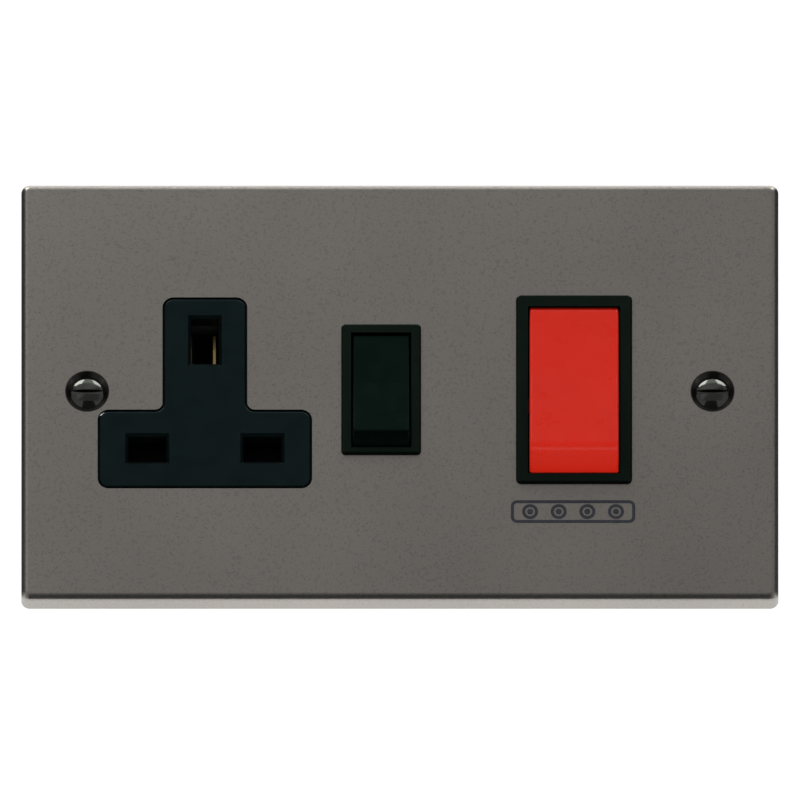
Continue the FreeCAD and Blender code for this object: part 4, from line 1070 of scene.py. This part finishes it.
@dataclass
class HobSign:
    """Printed sign below the large switch: a hob seen from above, with four rings."""

    ink: PrintedInk = PrintedInk("sign_ink", (0.012, 0.014, 0.02), (0.03, 0.034, 0.042))
    centre_x: float = 33.4 * MM
    centre_z: float = -24.9 * MM
    width: float = 24.0 * MM
    height: float = 4.7 * MM
    line: float = 0.62 * MM
    ring_radius: float = 1.55 * MM
    dot_radius: float = 0.6 * MM
    corner: float = 1.2 * MM
    film: float = 0.03 * MM
    rings: int = 4
    # Room at the sign's ends beyond one step a ring, in steps.
    end_room: float = 0.35
    corner_steps: int = 8
    ring_sides: int = 48

    def build(self) -> Piece:
        """Prints the sign on the plate's face.

        Returns:
            The sign as one piece.
        """
        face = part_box("front_plate")[0][1]
        parts = [self.outline(face)]
        step = self.width / (self.rings + self.end_room)
        for index in range(self.rings):
            place = self.centre_x + (index - (self.rings - 1) / 2.0) * step
            parts.append(self.disc(place, face, self.ring_radius, self.line))
            parts.append(self.disc(place, face, self.dot_radius, 0.0))
        sign = Bench.settle(Bench.join(parts), "hob_sign")
        paint(sign, self.ink)
        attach(sign, Body.BASE.value)
        log.info("printed %s with %d faces", sign.name, len(sign.data.polygons))
        return sign

    def hollow(self, piece: Piece, line: float) -> None:
        """Cuts the middle out of a flat shape and gives it the film's thickness.

        Args:
            piece: the flat shape.
            line: the width of line that stays.
        """
        Bench.edit(piece)
        bpy.ops.mesh.select_all(action="SELECT")
        if line > 0.0:
            bpy.ops.mesh.inset(thickness=line)
            bpy.ops.mesh.delete(type="FACE")
            bpy.ops.mesh.select_all(action="SELECT")
        bpy.ops.mesh.extrude_region_move(
            TRANSFORM_OT_translate={"value": (0.0, -self.film, 0.0)}
        )
        bpy.ops.object.mode_set(mode="OBJECT")

    def outline(self, face: float) -> Piece:
        """Makes the hob's rounded outline.

        Args:
            face: the plate's face, along Y.

        Returns:
            The outline.
        """
        Bench.clear()
        bpy.ops.mesh.primitive_plane_add(
            size=1.0,
            location=(self.centre_x, face, self.centre_z),
            rotation=(RIGHT_ANGLE, 0.0, 0.0),
        )
        piece = bpy.context.object
        piece.scale = (self.width, self.height, 1.0)
        Bench.fix()
        Bench.edit(piece, "VERT")
        bpy.ops.mesh.select_all(action="SELECT")
        bpy.ops.mesh.bevel(offset=self.corner, segments=self.corner_steps, affect="VERTICES")
        bpy.ops.mesh.select_mode(type="FACE")
        self.hollow(piece, self.line)
        return piece

    def disc(self, place: float, face: float, radius: float, line: float) -> Piece:
        """Makes a printed disc, or a ring where a line is given.

        Args:
            place: its middle, along X.
            face: the plate's face, along Y.
            radius: its outer radius.
            line: the line's width, or 0 for a full disc.

        Returns:
            The shape.
        """
        Bench.clear()
        bpy.ops.mesh.primitive_circle_add(
            vertices=self.ring_sides,
            radius=radius,
            fill_type="NGON",
            location=(place, face, self.centre_z),
            rotation=(RIGHT_ANGLE, 0.0, 0.0),
        )
        piece = bpy.context.object
        Bench.fix()
        self.hollow(piece, line)
        return piece


@dataclass(frozen=True)
class Lamp:
    """One soft rectangular lamp aimed at the object."""

    name: str
    place: Point
    size: Pair
    power: float
    mirrored: bool = True

    def hang(self, aim: Point) -> None:
        """Hangs the lamp.

        Args:
            aim: the point that it faces.
        """
        light = bpy.data.lights.new(self.name, "AREA")
        light.shape = "RECTANGLE"
        light.size, light.size_y = self.size
        light.energy = self.power
        lamp = bpy.data.objects.new(self.name, light)
        lamp.location = self.place
        lamp.visible_glossy = self.mirrored
        sight = Vector(aim) - Vector(self.place)
        lamp.rotation_euler = sight.to_track_quat("-Z", "Y").to_euler()
        bpy.context.scene.collection.objects.link(lamp)


@dataclass(frozen=True)
class Card:
    """One card that only shiny surfaces show, with a tone that can slope across it.

    Its turn is in degrees.
    """

    name: str
    place: Point
    turn: Point
    size: Pair
    level: float
    slope: Pair = (0.0, 0.0)
    # The darkest and the brightest that a slope gets, as shares of the level.
    shares: Pair = (0.62, 1.42)
    # Radius of the rounded corners, as a share of the short side.
    corner: float = 0.1

    def stand(self) -> None:
        """Stands the card beside the object."""
        Bench.clear()
        turn = tuple(math.radians(angle) for angle in self.turn)
        bpy.ops.mesh.primitive_plane_add(size=1.0, location=self.place, rotation=turn)
        card = bpy.context.object
        card.scale = (*self.size, 1.0)
        Bench.fix(place=False)
        Bench.edit(card, "VERT")
        bpy.ops.mesh.select_all(action="SELECT")
        rounding = min(self.size) * self.corner
        bpy.ops.mesh.bevel(offset=rounding, segments=6, affect="VERTICES")
        bpy.ops.object.mode_set(mode="OBJECT")
        card.name = self.name
        card.data.materials.append(self.surface())
        card.visible_camera = False
        card.visible_diffuse = False
        card.visible_shadow = False
        card.visible_transmission = False

    def surface(self) -> bpy.types.Material:
        """Makes the card's glow.

        Returns:
            Its material.
        """
        graph = Graph(self.name)
        place = graph.add("ShaderNodeTexCoord")
        slope = graph.add("ShaderNodeVectorMath", operation="DOT_PRODUCT")
        slope.inputs[1].default_value = (*self.slope, 0.0)
        graph.wire(place.outputs["Object"], slope.inputs[0])
        total = graph.add("ShaderNodeMath", operation="MULTIPLY_ADD")
        total.inputs[1].default_value = self.level
        total.inputs[2].default_value = self.level
        graph.wire(slope.outputs["Value"], total.inputs[0])
        kept = graph.add("ShaderNodeClamp")
        kept.inputs["Min"].default_value = self.level * self.shares[0]
        kept.inputs["Max"].default_value = self.level * self.shares[1]
        graph.wire(total.outputs["Value"], kept.inputs["Value"])
        glow = graph.add("ShaderNodeEmission")
        graph.wire(kept.outputs["Result"], glow.inputs["Strength"])
        graph.wire(glow.outputs["Emission"], graph.output.inputs["Surface"])
        return graph.material


@dataclass
class Studio:
    """White background, pale floor, soft lamps and the camera below the middle line."""

    elevation: float = 21.3
    view_width: float = 154.27 * MM
    aim: Point = (0.029 * MM, 0.0, 0.22 * MM)
    distance: float = 0.75
    clip: Pair = (0.01, 20.0)
    floor_level: float = -0.72
    floor_size: float = 6.0
    backdrop_height: float = 4.0
    backdrop_bend: float = 1.2
    paper: StagePaper = StagePaper("stage_paper", 0.82, 0.7)
    front_level: float = 0.29
    around_level: float = 0.42
    # The mirrored world turns from front_level to white between these shares of up or back.
    horizon: Pair = (0.55, 0.85)
    lamps: tuple[Lamp, ...] = (
        Lamp("left_softbox", (-0.5, -0.55, 0.95), (0.5, 0.5), 3.7),
        Lamp("right_softbox", (0.5, -0.55, 0.95), (0.5, 0.5), 2.8),
        Lamp("floor_bounce", (0.0, -0.45, -0.65), (0.9, 0.4), 4.3, mirrored=False),
    )
    cards: tuple[Card, ...] = (
        Card("front_card", (0.0, -0.84, 0.33), (68.7, 0.0, 0.0), (1.2, 1.0), 0.298, (-2.7, 3.6)),
        Card("low_card", (0.0, -0.38, -0.332), (-32.3, 0.0, 0.0), (0.44, 0.852), 0.05),
        Card("low_surround", (0.0, -0.475, -0.41), (-27.2, 0.0, 0.0), (2.2, 1.18), 0.33),
        Card("top_card", (0.0, 0.36, 0.77), (-25.0, 0.0, 0.0), (1.4, 0.8), 1.7),
        Card("left_card", (-0.5, 0.225, 0.345), (90.0, 0.0, 90.0), (1.29, 0.55), 0.03),
        Card("right_card", (0.5, 0.225, 0.345), (90.0, 0.0, 90.0), (1.29, 0.55), 0.03),
    )

    def build(self) -> None:
        """Sets the studio up."""
        self.floor()
        self.sky()
        for card in self.cards:
            card.stand()
        for lamp in self.lamps:
            lamp.hang(self.aim)
        self.camera()
        bpy.context.scene.view_settings.view_transform = "Standard"
        log.info("studio ready with %d lamps", len(self.lamps))

    def floor(self) -> None:
        """Lays the floor, curved up behind as a backdrop."""
        Bench.clear()
        bpy.ops.mesh.primitive_plane_add(
            size=self.floor_size, location=(0.0, 0.0, self.floor_level)
        )
        sweep = bpy.context.object
        Bench.edit(sweep, "EDGE")
        Bench.pick_edges(sweep, lambda one, two: min(one.y, two.y) > 0.0)
        bpy.ops.mesh.extrude_region_move(
            TRANSFORM_OT_translate={"value": (0.0, 0.0, self.backdrop_height)}
        )
        bpy.ops.object.mode_set(mode="OBJECT")
        bend = sweep.modifiers.new("bend", "BEVEL")
        bend.width = self.backdrop_bend
        bend.segments = 12
        bpy.ops.object.modifier_apply(modifier=bend.name)
        Bench.fix()
        bpy.ops.object.shade_smooth()
        sweep.name = "studio_floor"
        paint(sweep, self.paper)

    def sky(self) -> None:
        """Surrounds the object with plain light, white where the background is seen."""
        world = bpy.data.worlds.new("studio_light")
        world.use_nodes = True
        bpy.context.scene.world = world
        tree = world.node_tree
        tree.nodes.clear()
        output = tree.nodes.new("ShaderNodeOutputWorld")
        plain = self.light(tree, self.around_level)
        white = self.light(tree, 1.0)
        front = self.light(tree, self.front_level)
        place = tree.nodes.new("ShaderNodeTexCoord")
        parts = tree.nodes.new("ShaderNodeSeparateXYZ")
        tree.links.new(place.outputs["Generated"], parts.inputs["Vector"])
        whiter = tree.nodes.new("ShaderNodeMapRange")
        whiter.inputs["From Min"].default_value = self.horizon[0]
        whiter.inputs["From Max"].default_value = self.horizon[1]
        above = tree.nodes.new("ShaderNodeMath")
        above.operation = "MAXIMUM"
        tree.links.new(parts.outputs["Y"], above.inputs[0])
        tree.links.new(parts.outputs["Z"], above.inputs[1])
        tree.links.new(above.outputs[0], whiter.inputs["Value"])
        seen = mixed(tree, whiter.outputs["Result"], front, white)
        mirrors = shown_rays(tree, (Seen.GLOSSY, Seen.TRANSMISSION))
        mirrored = mixed(tree, mirrors, plain, seen)
        shown = mixed(tree, shown_rays(tree, (Seen.CAMERA,)), mirrored, white)
        tree.links.new(shown, output.inputs["Surface"])

    @staticmethod
    def light(tree: Tree, level: float) -> Socket:
        """Adds a plain white light of one level to a world.

        Args:
            tree: the world's node tree.
            level: its strength.

        Returns:
            The light's socket.
        """
        node = tree.nodes.new("ShaderNodeBackground")
        node.inputs["Color"].default_value = (*WHITE, 1.0)
        node.inputs["Strength"].default_value = level
        return node.outputs["Background"]

    def camera(self) -> None:
        """Sets the camera below the middle line, looking up without perspective."""
        rise = math.radians(self.elevation)
        lens = bpy.data.cameras.new("front_camera")
        lens.type = "ORTHO"
        lens.ortho_scale = self.view_width
        lens.clip_start, lens.clip_end = self.clip
        camera = bpy.data.objects.new("front_camera", lens)
        away = Vector((0.0, -math.cos(rise), -math.sin(rise))) * self.distance
        camera.location = Vector(self.aim) + away
        camera.rotation_euler = (RIGHT_ANGLE + rise, 0.0, 0.0)
        bpy.context.scene.collection.objects.link(camera)
        bpy.context.scene.camera = camera


def switches() -> tuple[SwitchUnit, SwitchUnit]:
    """Returns the two switches with their finishes."""
    frame_black = GlossMoulding(
        "switch_frame_black",
        (0.0008, 0.0014, 0.0009),
        (0.26, 0.36),
        gloss=0.3,
        sheen=(0.58, 1.0, 0.78),
    )
    nylon = GlossMoulding("plunger_nylon", (0.62, 0.6, 0.54), (0.42, 0.56))
    steel = BareMetal(
        "plunger_spring_steel", (0.56, 0.56, 0.55), (0.34, 0.32, 0.3), Space.ALONG_Y, 0.25
    )
    copper = BareMetal("arm_copper", (0.8, 0.42, 0.27), (0.36, 0.16, 0.09), Space.ALONG_Z, 0.4)
    return (
        SwitchUnit(
            rating="13a",
            poles=("",),
            rocker_finish=GlossMoulding(
                "rocker_black",
                (0.0005, 0.0013, 0.0009),
                (0.2, 0.3),
                gloss=0.18,
                sheen=(0.38, 1.0, 0.79),
            ),
            frame_finish=frame_black,
            plunger_finish=nylon,
            spring_finish=steel,
            arm_finish=copper,
        ),
        SwitchUnit(
            rating="45a",
            poles=("line_", "neutral_"),
            rocker_finish=GlossMoulding(
                "rocker_red",
                (0.655, 0.0176, 0.0062),
                (0.26, 0.36),
                relief=0.004 * MM,
                variation=0.03,
                gloss=0.24,
            ),
            frame_finish=frame_black,
            plunger_finish=nylon,
            spring_finish=steel,
            arm_finish=copper,
        ),
    )


def main() -> None:
    """Builds the unit in order and sets up the studio."""
    FacePlate().build()
    SocketUnit().build()
    ShutterSpring().build()
    for switch in switches():
        switch.build()
    RearCase().build()
    TerminalSet().build()
    plating = MirrorNickel("dark_mirror_nickel", (0.115, 0.12, 0.108))
    for side in ("left", "right"):
        WallScrew(f"fixing_screw_{side}", plating).build()
    HobSign().build()
    Studio().build()


if __name__ == "__main__":
    main()
